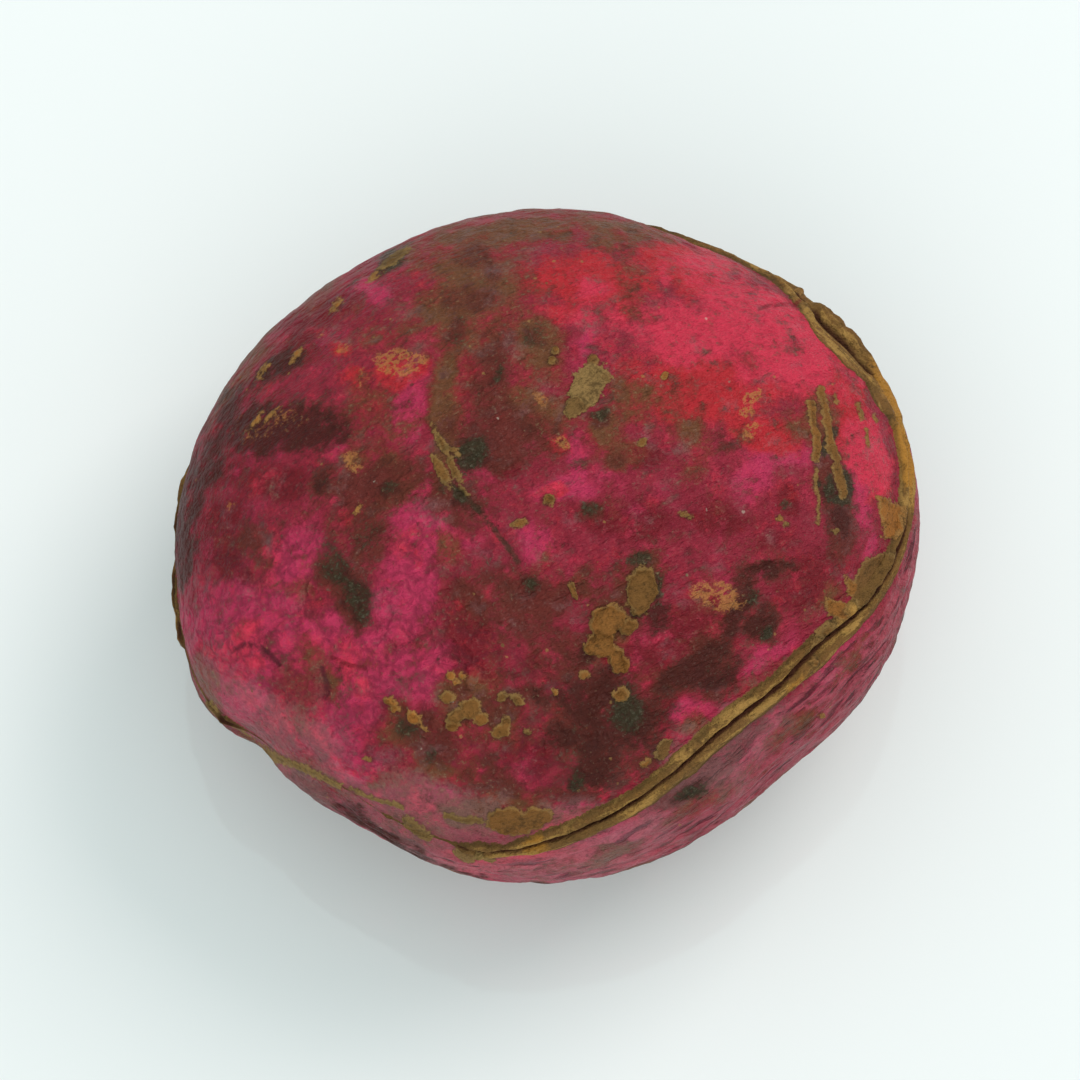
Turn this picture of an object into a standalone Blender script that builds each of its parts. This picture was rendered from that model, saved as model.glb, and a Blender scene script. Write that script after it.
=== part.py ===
"""A kola nut: one whole seed lying on its side, with the ridged seam between its two seed leaves.

The nut is one solid. It starts as a cube whose four walls are ruled with the lines that run beside
the seam. The cube is blown up to a ball, whose equator is the seam, and each point of the ball is
then moved to the nut's own surface.

Frame: metres, +Z up, +X along the nut's length, +Y across its width. The origin is on the surface
that the nut rests on, under the middle of the nut.
"""

import math
from typing import NamedTuple

import bmesh
import bpy
from mathutils import Vector

# Driving sizes, in metres
LENGTH = 0.0368
WIDTH = 0.0333
HEIGHT = 0.0196
GIRTH_HEIGHT = 0.0096  # level of the widest outline, above the rest
REST_FLAT = 0.0003  # what the small flat spot takes off the round underside

# How full the curves are: 2 is an ellipse, and more is squarer
PLAN_FULLNESS = 2.03
TOP_FULLNESS = 2.2
BOTTOM_FULLNESS = 2.1

# The seam between the two seed leaves: a tilted ring, with the bends that SEAM_BENDS adds
SEAM_LEVEL = 0.0020  # of the ring's middle, above the widest outline
SEAM_RISE = 0.0030  # from there to the ring's highest point
SEAM_RISES_TOWARDS = math.radians(298.0)
LIP_OFFSET = 0.00062  # from the crack to the crest of the lip beside it
LIP_HALF_WIDTH = 0.00048
LIP_HEIGHT = 0.00034
CRACK_HALF_WIDTH = 0.00017
CRACK_DEPTH = 0.0005
TROUGH_HALF_WIDTH = 0.0024  # the shallow trough that the seam lies in
TROUGH_DEPTH = 0.00012

# The cube that becomes the nut
SQUARES_A_SIDE = 22
SKIN_ON_BALL = 0.026  # skin beside the seam for each quarter turn of the ball
WALL_SHARE = 0.5  # of the way from the seam to the pole, that a wall covers
ROW_STEP = 0.0012  # between rows of the walls, away from the seam
SMOOTH_ROUNDS = 12

QUARTER_TURN = math.pi / 2
STEP_FOR_SLOPE = math.radians(0.5)
SHARP_OVER = math.radians(40.0)

SKIN_COLOUR = (0.42, 0.035, 0.11, 1.0)
SKIN_ROUGHNESS = 0.5


class Swell(NamedTuple):
    """A low rise of the skin, or with a rise under 0 a dent, round one direction from the middle."""

    azimuth: float  # degrees from +X towards +Y
    climb: float  # degrees above the widest outline
    along: float  # degrees that it reaches, round the nut
    upright: float  # degrees that it reaches, up and down
    rise: float  # metres


class Bend(NamedTuple):
    """A place where the seam wanders up, or with a rise under 0 down, from its tilted ring."""

    azimuth: float  # degrees from +X towards +Y
    along: float  # degrees that it reaches, round the nut
    rise: float  # metres


# What makes this nut's outline and its seam their own, going round from its right-hand end
SWELLS = (
    Swell(34.0, 6.0, 20.0, 40.0, -0.0008),
    Swell(163.0, 0.0, 13.0, 30.0, -0.0003),
    Swell(190.0, -6.0, 5.0, 30.0, -0.0004),
    Swell(194.0, -6.0, 10.0, 30.0, -0.0008),
    Swell(212.0, -6.0, 17.0, 30.0, -0.0015),
    Swell(242.0, -6.0, 20.0, 36.0, -0.0003),
    Swell(285.0, 0.0, 19.0, 36.0, -0.0004),
    Swell(294.0, -4.0, 13.0, 30.0, -0.0003),
    Swell(358.0, 4.0, 18.0, 40.0, 0.0002),
)
SEAM_BENDS = (
    Bend(12.0, 11.0, 0.0018),
    Bend(190.0, 6.0, -0.0006),
    Bend(206.0, 8.0, 0.0012),
    Bend(236.0, 11.0, -0.0006),
    Bend(285.0, 27.0, 0.0019),
    Bend(308.0, 9.0, 0.0006),
    Bend(337.0, 13.0, -0.0011),
    Bend(351.0, 9.0, -0.0006),
)


def angle_between(azimuth: float, degrees: float) -> float:
    """The shorter way round from a direction in degrees to an azimuth, in radians."""
    return math.remainder(azimuth - math.radians(degrees), 2 * math.pi)


def superellipse(angle: float, half_x: float, half_y: float, fullness: float) -> float:
    """Distance from the middle of a superellipse to its curve, at an angle from its x axis."""
    total = abs(math.cos(angle) / half_x) ** fullness + abs(math.sin(angle) / half_y) ** fullness
    return total ** (-1.0 / fullness)


def girth(azimuth: float) -> float:
    """Distance from the nut's upright axis to its widest outline."""
    return superellipse(azimuth, LENGTH / 2, WIDTH / 2, PLAN_FULLNESS)


def body_radius(azimuth: float, climb: float) -> float:
    """Distance from the nut's middle to its skin, leaving out the seam."""
    half_height = HEIGHT - GIRTH_HEIGHT if climb > 0.0 else GIRTH_HEIGHT + REST_FLAT
    fullness = TOP_FULLNESS if climb > 0.0 else BOTTOM_FULLNESS
    radius = superellipse(climb, girth(azimuth), half_height, fullness)
    for swell in SWELLS:
        turn = angle_between(azimuth, swell.azimuth) * math.cos(climb)
        lift = climb - math.radians(swell.climb)
        away = (turn / math.radians(swell.along)) ** 2 + (lift / math.radians(swell.upright)) ** 2
        radius += swell.rise * math.exp(-away)
    return radius


def seam_climb(azimuth: float) -> float:
    """Angle at which the seam stands above the widest outline."""
    level = SEAM_LEVEL + SEAM_RISE * math.cos(azimuth - SEAM_RISES_TOWARDS)
    for bend in SEAM_BENDS:
        level += bend.rise * math.exp(-((angle_between(azimuth, bend.azimuth) / math.radians(bend.along)) ** 2))
    return math.atan(level / girth(azimuth))


def skin_per_radian(azimuth: float, climb: float) -> float:
    """Metres of skin that one radian of climb passes."""
    above = body_radius(azimuth, climb + STEP_FOR_SLOPE)
    below = body_radius(azimuth, climb - STEP_FOR_SLOPE)
    return math.hypot(body_radius(azimuth, climb), (above - below) / (2 * STEP_FOR_SLOPE))


def bell(distance: float, half_width: float) -> float:
    """A smooth bump, 1 high at distance 0 and gone at half_width."""
    if abs(distance) >= half_width:
        return 0.0
    return math.cos(QUARTER_TURN * distance / half_width) ** 2


def seam_relief(from_crack: float) -> float:
    """How far the skin stands out beside the seam: two lips with a crack between them, in a trough."""
    lips = LIP_HEIGHT * bell(abs(from_crack) - LIP_OFFSET, LIP_HALF_WIDTH)
    crack = CRACK_DEPTH * bell(from_crack, CRACK_HALF_WIDTH)
    return lips - crack - TROUGH_DEPTH * bell(from_crack, TROUGH_HALF_WIDTH)


def nut_point(ball: Vector) -> Vector:
    """The point of the nut's surface for a point of the ball of radius 1."""
    azimuth = math.atan2(ball.y, ball.x)
    seam = seam_climb(azimuth)
    skin = skin_per_radian(azimuth, seam)
    share = math.asin(max(-1.0, min(1.0, ball.z))) / QUARTER_TURN
    to_pole = QUARTER_TURN - math.copysign(seam, share * seam)
    turn = share * (SKIN_ON_BALL / skin * (1.0 - abs(share)) + to_pole * abs(share))
    climb = seam + turn
    radius = body_radius(azimuth, climb) + seam_relief(turn * skin)
    across = radius * math.cos(climb)
    level = GIRTH_HEIGHT + radius * math.sin(climb)
    return Vector((across * math.cos(azimuth), across * math.sin(azimuth), max(level, 0.0)))


def wall_rows() -> list[float]:
    """Distances from the crack at which a row of the walls runs, on one side of the seam."""
    lip_foot = LIP_OFFSET + LIP_HALF_WIDTH
    rows = [CRACK_HALF_WIDTH, LIP_OFFSET - LIP_HALF_WIDTH / 2, LIP_OFFSET, LIP_OFFSET + LIP_HALF_WIDTH / 2]
    steps = round((WALL_SHARE * SKIN_ON_BALL - lip_foot) / ROW_STEP)
    step = (WALL_SHARE * SKIN_ON_BALL - lip_foot) / steps
    return rows + [lip_foot + step * i for i in range(steps)]


def ball_point(cube: Vector) -> Vector:
    """The point of a ball of radius 1 for a point of a cube that reaches 1 from its middle.

    The walls become bands round the equator. Squares on the lid become rings round the pole.
    """
    reach = max(abs(cube.x), abs(cube.y))
    azimuth = 0.0
    if reach > 0.0:
        if abs(cube.x) >= abs(cube.y):
            azimuth = math.pi / 4 * cube.y / cube.x + (math.pi if cube.x < 0.0 else 0.0)
        else:
            azimuth = QUARTER_TURN - math.pi / 4 * cube.x / cube.y + (math.pi if cube.y < 0.0 else 0.0)
    on_lid = abs(cube.z) > 1.0 - 1e-6
    share = math.copysign(1.0 - (1.0 - WALL_SHARE) * reach, cube.z) if on_lid else WALL_SHARE * cube.z
    latitude = share * QUARTER_TURN
    ring = math.cos(latitude)
    return Vector((ring * math.cos(azimuth), ring * math.sin(azimuth), math.sin(latitude)))


def ruled_cube() -> bmesh.types.BMesh:
    """A cube with square lids, and with walls ruled at the rows that run beside the seam."""
    mesh = bmesh.new()
    bmesh.ops.create_cube(mesh, size=2.0)
    level_edges = [e for e in mesh.edges if abs(e.verts[0].co.z - e.verts[1].co.z) < 1.0]
    bmesh.ops.subdivide_edges(mesh, edges=level_edges, cuts=SQUARES_A_SIDE - 1, use_grid_fill=True)
    for row in [0.0] + wall_rows():
        level = row / (WALL_SHARE * SKIN_ON_BALL)
        for z in {level, -level}:
            bmesh.ops.bisect_plane(
                mesh, geom=mesh.verts[:] + mesh.edges[:] + mesh.faces[:], plane_co=(0, 0, z), plane_no=(0, 0, 1)
            )
    return mesh


def stand_over_origin(mesh: bmesh.types.BMesh) -> None:
    """Moves the nut sideways until the middle of its box is over the origin."""
    across = [vert.co.x for vert in mesh.verts]
    along = [vert.co.y for vert in mesh.verts]
    middle = Vector((min(across) + max(across), min(along) + max(along), 0.0)) / 2
    bmesh.ops.translate(mesh, verts=mesh.verts[:], vec=-middle)


def nut_mesh() -> bpy.types.Mesh:
    """The nut's closed surface."""
    mesh = ruled_cube()
    lids = [v for v in mesh.verts if abs(v.co.z) > 1.0 - 1e-6 and max(abs(v.co.x), abs(v.co.y)) < 1.0 - 1e-6]
    for vert in mesh.verts:
        vert.co = ball_point(vert.co)
    for _ in range(SMOOTH_ROUNDS):
        bmesh.ops.smooth_vert(mesh, verts=lids, factor=0.5, use_axis_x=True, use_axis_y=True, use_axis_z=True)
        for vert in lids:
            vert.co.normalize()
    for vert in mesh.verts:
        vert.co = nut_point(vert.co)
    stand_over_origin(mesh)
    bmesh.ops.recalc_face_normals(mesh, faces=mesh.faces[:])
    bmesh.ops.triangulate(mesh, faces=mesh.faces[:])
    made = bpy.data.meshes.new("kola_nut")
    mesh.to_mesh(made)
    mesh.free()
    made.shade_smooth()
    made.set_sharp_from_angle(angle=SHARP_OVER)
    return made


def skin_material() -> bpy.types.Material:
    """The nut's dry crimson skin."""
    material = bpy.data.materials.new("kola_skin")
    material.use_nodes = True
    shader = material.node_tree.nodes["Principled BSDF"]
    shader.inputs["Base Color"].default_value = SKIN_COLOUR
    shader.inputs["Roughness"].default_value = SKIN_ROUGHNESS
    shader.inputs["Metallic"].default_value = 0.0
    material.diffuse_color = SKIN_COLOUR
    return material


def main() -> None:
    """Clears the scene and builds the nut."""
    for old in list(bpy.data.objects):
        bpy.data.objects.remove(old)
    nut = bpy.data.objects.new("kola_nut", nut_mesh())
    nut.data.materials.append(skin_material())
    bpy.context.scene.collection.objects.link(nut)


if __name__ == "__main__":
    main()
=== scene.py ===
"""The looks of a whole kola nut: its leathery magenta seed coat, corky scabs and ridged seam.

The coat is one fine mesh of the nut's own form. It starts as a cube of small squares, with smaller
ones where a scab comes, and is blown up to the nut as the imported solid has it. Then it gets the
relief that is too fine for the solid. Where a colour or a scab lies is kept in the mesh, as an
attribute, and the coat's material draws it.

Lengths are in metres, unless a name or a comment says millimetres or photograph pixels.
"""

import logging
import math
from collections.abc import Sequence
from dataclasses import dataclass, field
from enum import Enum
from itertools import chain

import bmesh
import bpy
import numpy as np
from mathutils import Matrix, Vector, noise


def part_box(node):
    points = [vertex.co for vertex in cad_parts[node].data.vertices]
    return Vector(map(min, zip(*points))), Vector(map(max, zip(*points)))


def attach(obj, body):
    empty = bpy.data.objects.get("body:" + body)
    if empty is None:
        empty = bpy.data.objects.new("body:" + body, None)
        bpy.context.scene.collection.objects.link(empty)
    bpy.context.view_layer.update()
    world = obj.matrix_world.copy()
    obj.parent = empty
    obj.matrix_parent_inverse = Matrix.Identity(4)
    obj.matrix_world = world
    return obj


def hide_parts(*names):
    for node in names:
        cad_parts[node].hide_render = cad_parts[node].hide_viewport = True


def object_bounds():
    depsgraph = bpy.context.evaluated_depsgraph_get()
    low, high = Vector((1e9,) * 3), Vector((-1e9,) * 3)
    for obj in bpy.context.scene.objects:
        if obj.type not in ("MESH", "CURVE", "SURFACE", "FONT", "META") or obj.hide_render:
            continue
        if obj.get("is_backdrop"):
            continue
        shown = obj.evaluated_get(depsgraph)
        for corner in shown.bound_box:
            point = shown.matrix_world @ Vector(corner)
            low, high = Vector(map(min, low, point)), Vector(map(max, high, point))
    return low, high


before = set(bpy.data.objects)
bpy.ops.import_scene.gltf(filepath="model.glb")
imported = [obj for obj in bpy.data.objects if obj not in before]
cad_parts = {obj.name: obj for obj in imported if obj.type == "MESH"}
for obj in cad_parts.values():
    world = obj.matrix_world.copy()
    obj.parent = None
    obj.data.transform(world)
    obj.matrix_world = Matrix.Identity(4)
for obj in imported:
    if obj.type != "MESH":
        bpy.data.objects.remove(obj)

log = logging.getLogger("kola_nut")

NODE = "kola_nut"
BODY = "root"

MM = 0.001
QUARTER_TURN = math.pi / 2
SEED = 7
MARK_EDGE = (-0.6, 0.55)  # how deep inside a mark, as a share, it starts and is full

Values = np.ndarray
Pixels = tuple[Values, Values]  # to the right and down in the photograph, of each point
Socket = bpy.types.NodeSocket


def linear(colour: str) -> tuple[float, float, float, float]:
    """Turns an sRGB hex colour to linear light.

    Args:
        colour: six hex digits, such as "98324a".

    Returns:
        Red, green, blue and an alpha of 1.
    """
    shares = [int(colour[i : i + 2], 16) / 255 for i in (0, 2, 4)]
    red, green, blue = (s / 12.92 if s <= 0.04045 else ((s + 0.055) / 1.055) ** 2.4 for s in shares)
    return red, green, blue, 1.0


def smooth_rise(values: Values, low: float, high: float) -> Values:
    """Goes smoothly from 0 at low to 1 at high.

    Args:
        values: any numbers.
        low: where the rise starts.
        high: where it ends.

    Returns:
        Numbers from 0 to 1, in the shape of values.
    """
    share = np.clip((values - low) / (high - low), 0.0, 1.0)
    return share * share * (3.0 - 2.0 * share)


def bell(distance: Values, half_width: Values | float) -> Values:
    """A smooth bump, 1 high at distance 0 and gone at half_width."""
    return np.cos(QUARTER_TURN * np.clip(distance / half_width, -1.0, 1.0)) ** 2


def soft_noise(points_mm: Values, grain_mm: float, shift: float, octaves: int = 1) -> Values:
    """Smooth noise at each point.

    Args:
        points_mm: one row of x, y, z for each point, in millimetres.
        grain_mm: size of one swell of the noise.
        shift: moves the pattern, so that two noises of one grain differ.
        octaves: how many finer noises are laid on top, each at half the size.

    Returns:
        One number for each point, from about -1 to 1.
    """
    places = (points_mm / grain_mm + shift * 17.3).tolist()
    if octaves == 1:
        return np.array([noise.noise(Vector(place)) for place in places])
    return np.array([noise.fractal(Vector(place), 0.9, 2.0, octaves) for place in places])


@dataclass(frozen=True)
class Swell:
    """A low rise of the skin, or with a rise under 0 a dent, round one direction from the middle."""

    azimuth: float  # degrees from +X towards +Y
    climb: float  # degrees above the widest outline
    along: float  # degrees that it reaches, round the nut
    upright: float  # degrees that it reaches, up and down
    rise: float


@dataclass(frozen=True)
class Bend:
    """A place where the seam wanders up, or with a rise under 0 down, from its tilted ring."""

    azimuth: float  # degrees from +X towards +Y
    along: float  # degrees that it reaches, round the nut
    rise: float


@dataclass(frozen=True)
class NutForm:
    """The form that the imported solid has, from the same driving sizes."""

    length: float = 0.0368
    width: float = 0.0333
    height: float = 0.0196
    girth_height: float = 0.0096  # level of the widest outline, above the rest
    rest_flat: float = 0.0003  # what the flat spot takes off the round underside
    plan_fullness: float = 2.03
    top_fullness: float = 2.2
    bottom_fullness: float = 2.1
    seam_level: float = 0.0020
    seam_rise: float = 0.0030
    seam_rises_towards: float = 298.0  # degrees
    lip_offset: float = 0.00062  # from the crack to the crest of the lip beside it
    lip_half_width: float = 0.00048
    lip_height: float = 0.00034
    skin_on_ball: float = 0.026  # skin beside the seam for each quarter turn of the ball
    slope_step: float = math.radians(0.5)
    swells: Sequence[Swell] = (
        Swell(34, 6, 20, 40, -0.0008), Swell(163, 0, 13, 30, -0.0003), Swell(190, -6, 5, 30, -0.0004),
        Swell(194, -6, 10, 30, -0.0008), Swell(212, -6, 17, 30, -0.0015), Swell(242, -6, 20, 36, -0.0003),
        Swell(285, 0, 19, 36, -0.0004), Swell(294, -4, 13, 30, -0.0003), Swell(358, 4, 18, 40, 0.0002),
    )
    bends: Sequence[Bend] = (
        Bend(12, 11, 0.0018), Bend(190, 6, -0.0006), Bend(206, 8, 0.0012), Bend(236, 11, -0.0006),
        Bend(285, 27, 0.0019), Bend(308, 9, 0.0006), Bend(337, 13, -0.0011), Bend(351, 9, -0.0006),
    )

    @staticmethod
    def angle_between(azimuth: Values, degrees: float) -> Values:
        """The shorter way round from a direction in degrees to an azimuth, in radians."""
        return np.remainder(azimuth - math.radians(degrees) + math.pi, 2 * math.pi) - math.pi

    @staticmethod
    def superellipse(angle: Values, half_x: Values, half_y: Values, fullness: Values) -> Values:
        """Distance from the middle of a superellipse to its curve, at an angle from its x axis."""
        along, across = np.abs(np.cos(angle) / half_x), np.abs(np.sin(angle) / half_y)
        return (along**fullness + across**fullness) ** (-1.0 / fullness)

    def girth(self, azimuth: Values) -> Values:
        """Distance from the nut's upright axis to its widest outline."""
        return self.superellipse(azimuth, self.length / 2, self.width / 2, self.plan_fullness)

    def radius(self, azimuth: Values, climb: Values) -> Values:
        """Distance from the nut's middle to its skin, leaving out the seam."""
        above, below = self.height - self.girth_height, self.girth_height + self.rest_flat
        half_height = np.where(climb > 0.0, above, below)
        fullness = np.where(climb > 0.0, self.top_fullness, self.bottom_fullness)
        radius = self.superellipse(climb, self.girth(azimuth), half_height, fullness)
        for swell in self.swells:
            turn = self.angle_between(azimuth, swell.azimuth) * np.cos(climb) / math.radians(swell.along)
            lift = (climb - math.radians(swell.climb)) / math.radians(swell.upright)
            radius = radius + swell.rise * np.exp(-(turn**2) - lift**2)
        return radius

    def seam_climb(self, azimuth: Values) -> Values:
        """Angle at which the seam stands above the widest outline."""
        tilt = np.cos(self.angle_between(azimuth, self.seam_rises_towards))
        level = self.seam_level + self.seam_rise * tilt
        for bend in self.bends:
            turn = self.angle_between(azimuth, bend.azimuth) / math.radians(bend.along)
            level = level + bend.rise * np.exp(-(turn**2))
        return np.arctan(level / self.girth(azimuth))

    def lips(self, from_crack: Values) -> Values:
        """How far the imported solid's lips stand out."""
        return self.lip_height * bell(np.abs(from_crack) - self.lip_offset, self.lip_half_width)

    def skin(self, azimuth: Values, share: Values) -> tuple[Values, Values, Values]:
        """The plain skin at places given by a turn and by the way from the seam to a pole.

        Args:
            azimuth: radians from +X towards +Y.
            share: -1 at the bottom pole, 0 on the seam and 1 at the top pole.

        Returns:
            The points, the directions in which they lie from the nut's middle, and how far each is
            from the crack, under 0 below it.
        """
        seam = self.seam_climb(azimuth)
        above = self.radius(azimuth, seam + self.slope_step)
        below = self.radius(azimuth, seam - self.slope_step)
        per_radian = np.hypot(self.radius(azimuth, seam), (above - below) / (2 * self.slope_step))
        away = np.abs(share)
        to_pole = QUARTER_TURN - np.copysign(seam, share * seam)
        turn = share * (self.skin_on_ball / per_radian * (1.0 - away) + to_pole * away)
        climb = seam + turn
        level = np.cos(climb)
        outwards = np.stack((level * np.cos(azimuth), level * np.sin(azimuth), np.sin(climb)), axis=1)
        points = outwards * self.radius(azimuth, climb)[:, None]
        points[:, 2] += self.girth_height
        return points, outwards, turn * per_radian


@dataclass(frozen=True)
class PhotoView:
    """Where the photograph's camera stood, as seen from the nut."""

    azimuth: float = -25.0  # degrees
    elevation: float = 72.0
    distance: float = 0.45
    middle_x: float = 631.0  # photograph pixels
    middle_y: float = 647.8
    pixel_mm: float = 0.1316

    def axes(self) -> Values:
        """The camera's right, up and backward directions, one in each row."""
        turn, lift = math.radians(self.azimuth), math.radians(self.elevation)
        level = math.cos(lift)
        backward = np.array((math.sin(turn) * level, -math.cos(turn) * level, math.sin(lift)))
        right = np.array((math.cos(turn), math.sin(turn), 0.0))
        return np.stack((right, np.cross(backward, right), backward))

    def seen(self, points: Values, middle: Values) -> Pixels:
        """Where the photograph's camera sees points.

        Args:
            points: one row of x, y, z for each point.
            middle: the nut's middle.

        Returns:
            Photograph pixels to the right and down, of each point.
        """
        right, up, backward = self.axes() @ (points - middle).T
        nearer = self.distance / (self.distance - backward) / (self.pixel_mm * MM)
        return self.middle_x + right * nearer, self.middle_y - up * nearer


@dataclass(frozen=True)
class Mark:
    """A mark on the coat where the photograph shows it, measured in the photograph's pixels."""

    photo_x: float
    photo_y: float
    length: float
    breadth: float
    turn: float = 0.0  # degrees that its length is turned, anticlockwise
    strength: float = 1.0

    def depth(self, seen: Pixels) -> Values:
        """How many pixels each point is inside the mark's edge."""
        return self.inside(seen) * self.breadth / 2

    def inside(self, seen: Pixels) -> Values:
        """How deep each point is inside the mark's edge.

        Args:
            seen: where the photograph shows the points.

        Returns:
            1 at the mark's middle, 0 on its edge and less outside.
        """
        cosine, sine = math.cos(math.radians(self.turn)), math.sin(math.radians(self.turn))
        right, up = seen[0] - self.photo_x, self.photo_y - seen[1]
        along = (right * cosine + up * sine) / (self.length / 2)
        across = (up * cosine - right * sine) / (self.breadth / 2)
        return 1.0 - np.hypot(along, across)


Marks = dict[str, tuple[Mark, ...]]


@dataclass(frozen=True)
class CorkForm:
    """How a kind of scab stands on the skin."""

    height_mm: float
    rim_mm: float  # how much its rim stands above the rest of it
    crumple_mm: float


class Cork(Enum):
    """The kinds of scab."""

    PLATE = CorkForm(0.07, 0.04, 0.05)
    RING = CorkForm(0.02, 0.14, 0.04)
    CRUMB = CorkForm(0.15, 0.0, 0.05)
    FOLD = CorkForm(0.11, 0.14, 0.16)
    FIBRE = CorkForm(0.06, 0.0, 0.06)


@dataclass(frozen=True)
class Scab(Mark):
    """A raised scab of cork, whose strength says how orange it is, from -1, pale, over 0 to 1."""

    cork: Cork = Cork.PLATE


@dataclass(frozen=True)
class Line:
    """A line on the coat, through points of the photograph."""

    photo_points: Sequence[tuple[float, float]]
    breadth: float = 2.0

    def across(self, seen: Pixels) -> Values:
        """How far each point is from the line, in pixels.

        Args:
            seen: where the photograph shows the points.

        Returns:
            One distance for each.
        """
        nearest = np.full(seen[0].shape, np.inf)
        for start, end in zip(self.photo_points, self.photo_points[1:]):
            way = np.subtract(end, start)
            offset_x, offset_y = seen[0] - start[0], seen[1] - start[1]
            share = np.clip((offset_x * way[0] + offset_y * way[1]) / (way @ way), 0.0, 1.0)
            nearest = np.minimum(nearest, np.hypot(offset_x - share * way[0], offset_y - share * way[1]))
        return nearest

    def depth(self, seen: Pixels) -> Values:
        """How many pixels each point is inside the line's edge."""
        return self.breadth / 2 - self.across(seen)


@dataclass(frozen=True)
class Strip(Line):
    """A narrow scab along a line, whose strength says how orange it is, as for a Scab."""

    strength: float = 0.3
    cork: Cork = Cork.FIBRE


@dataclass(frozen=True)
class Facet:
    """A scab with straight sides, given by its corners in the photograph, clockwise."""

    photo_points: Sequence[tuple[float, float]]
    strength: float = 0.3
    cork: Cork = Cork.PLATE
    breadth: float = 6.0  # pixels, by which its edge is roughened

    def depth(self, seen: Pixels) -> Values:
        """How many pixels each point is inside the scab's edge.

        Args:
            seen: where the photograph shows the points.

        Returns:
            One depth for each.
        """
        nearest = np.full(seen[0].shape, np.inf)
        for start, end in zip(self.photo_points, (*self.photo_points[1:], self.photo_points[0])):
            way = np.subtract(end, start) / math.dist(start, end)
            nearest = np.minimum(nearest, way[0] * (seen[1] - start[1]) - way[1] * (seen[0] - start[0]))
        return nearest


class Field(Enum):
    """What the coat's mesh keeps at each point, for its material."""

    FROM_CRACK = "from_crack_mm"
    LIP = "lip_inside_mm"
    GAPE = "gape"
    SCAB = "scab_inside_mm"
    OCHRE = "ochre"
    RUST = "rust"
    FLAKE = "flake"
    DEEP = "deep"
    MAGENTA = "magenta"
    SCARLET = "scarlet"
    PINK = "pink"
    HAZE = "haze"
    BROWN = "brown"
    DARK = "dark"
    MOULD_AND_SHADE = "mould_and_shade"
    CRAZING = "crazing"
    DUST_AND_BOUNCE = "dust"
    SCRATCH = "scratch_mm"
    SLIT = "slit_mm"
    HOOK = "hook_mm"


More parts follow.
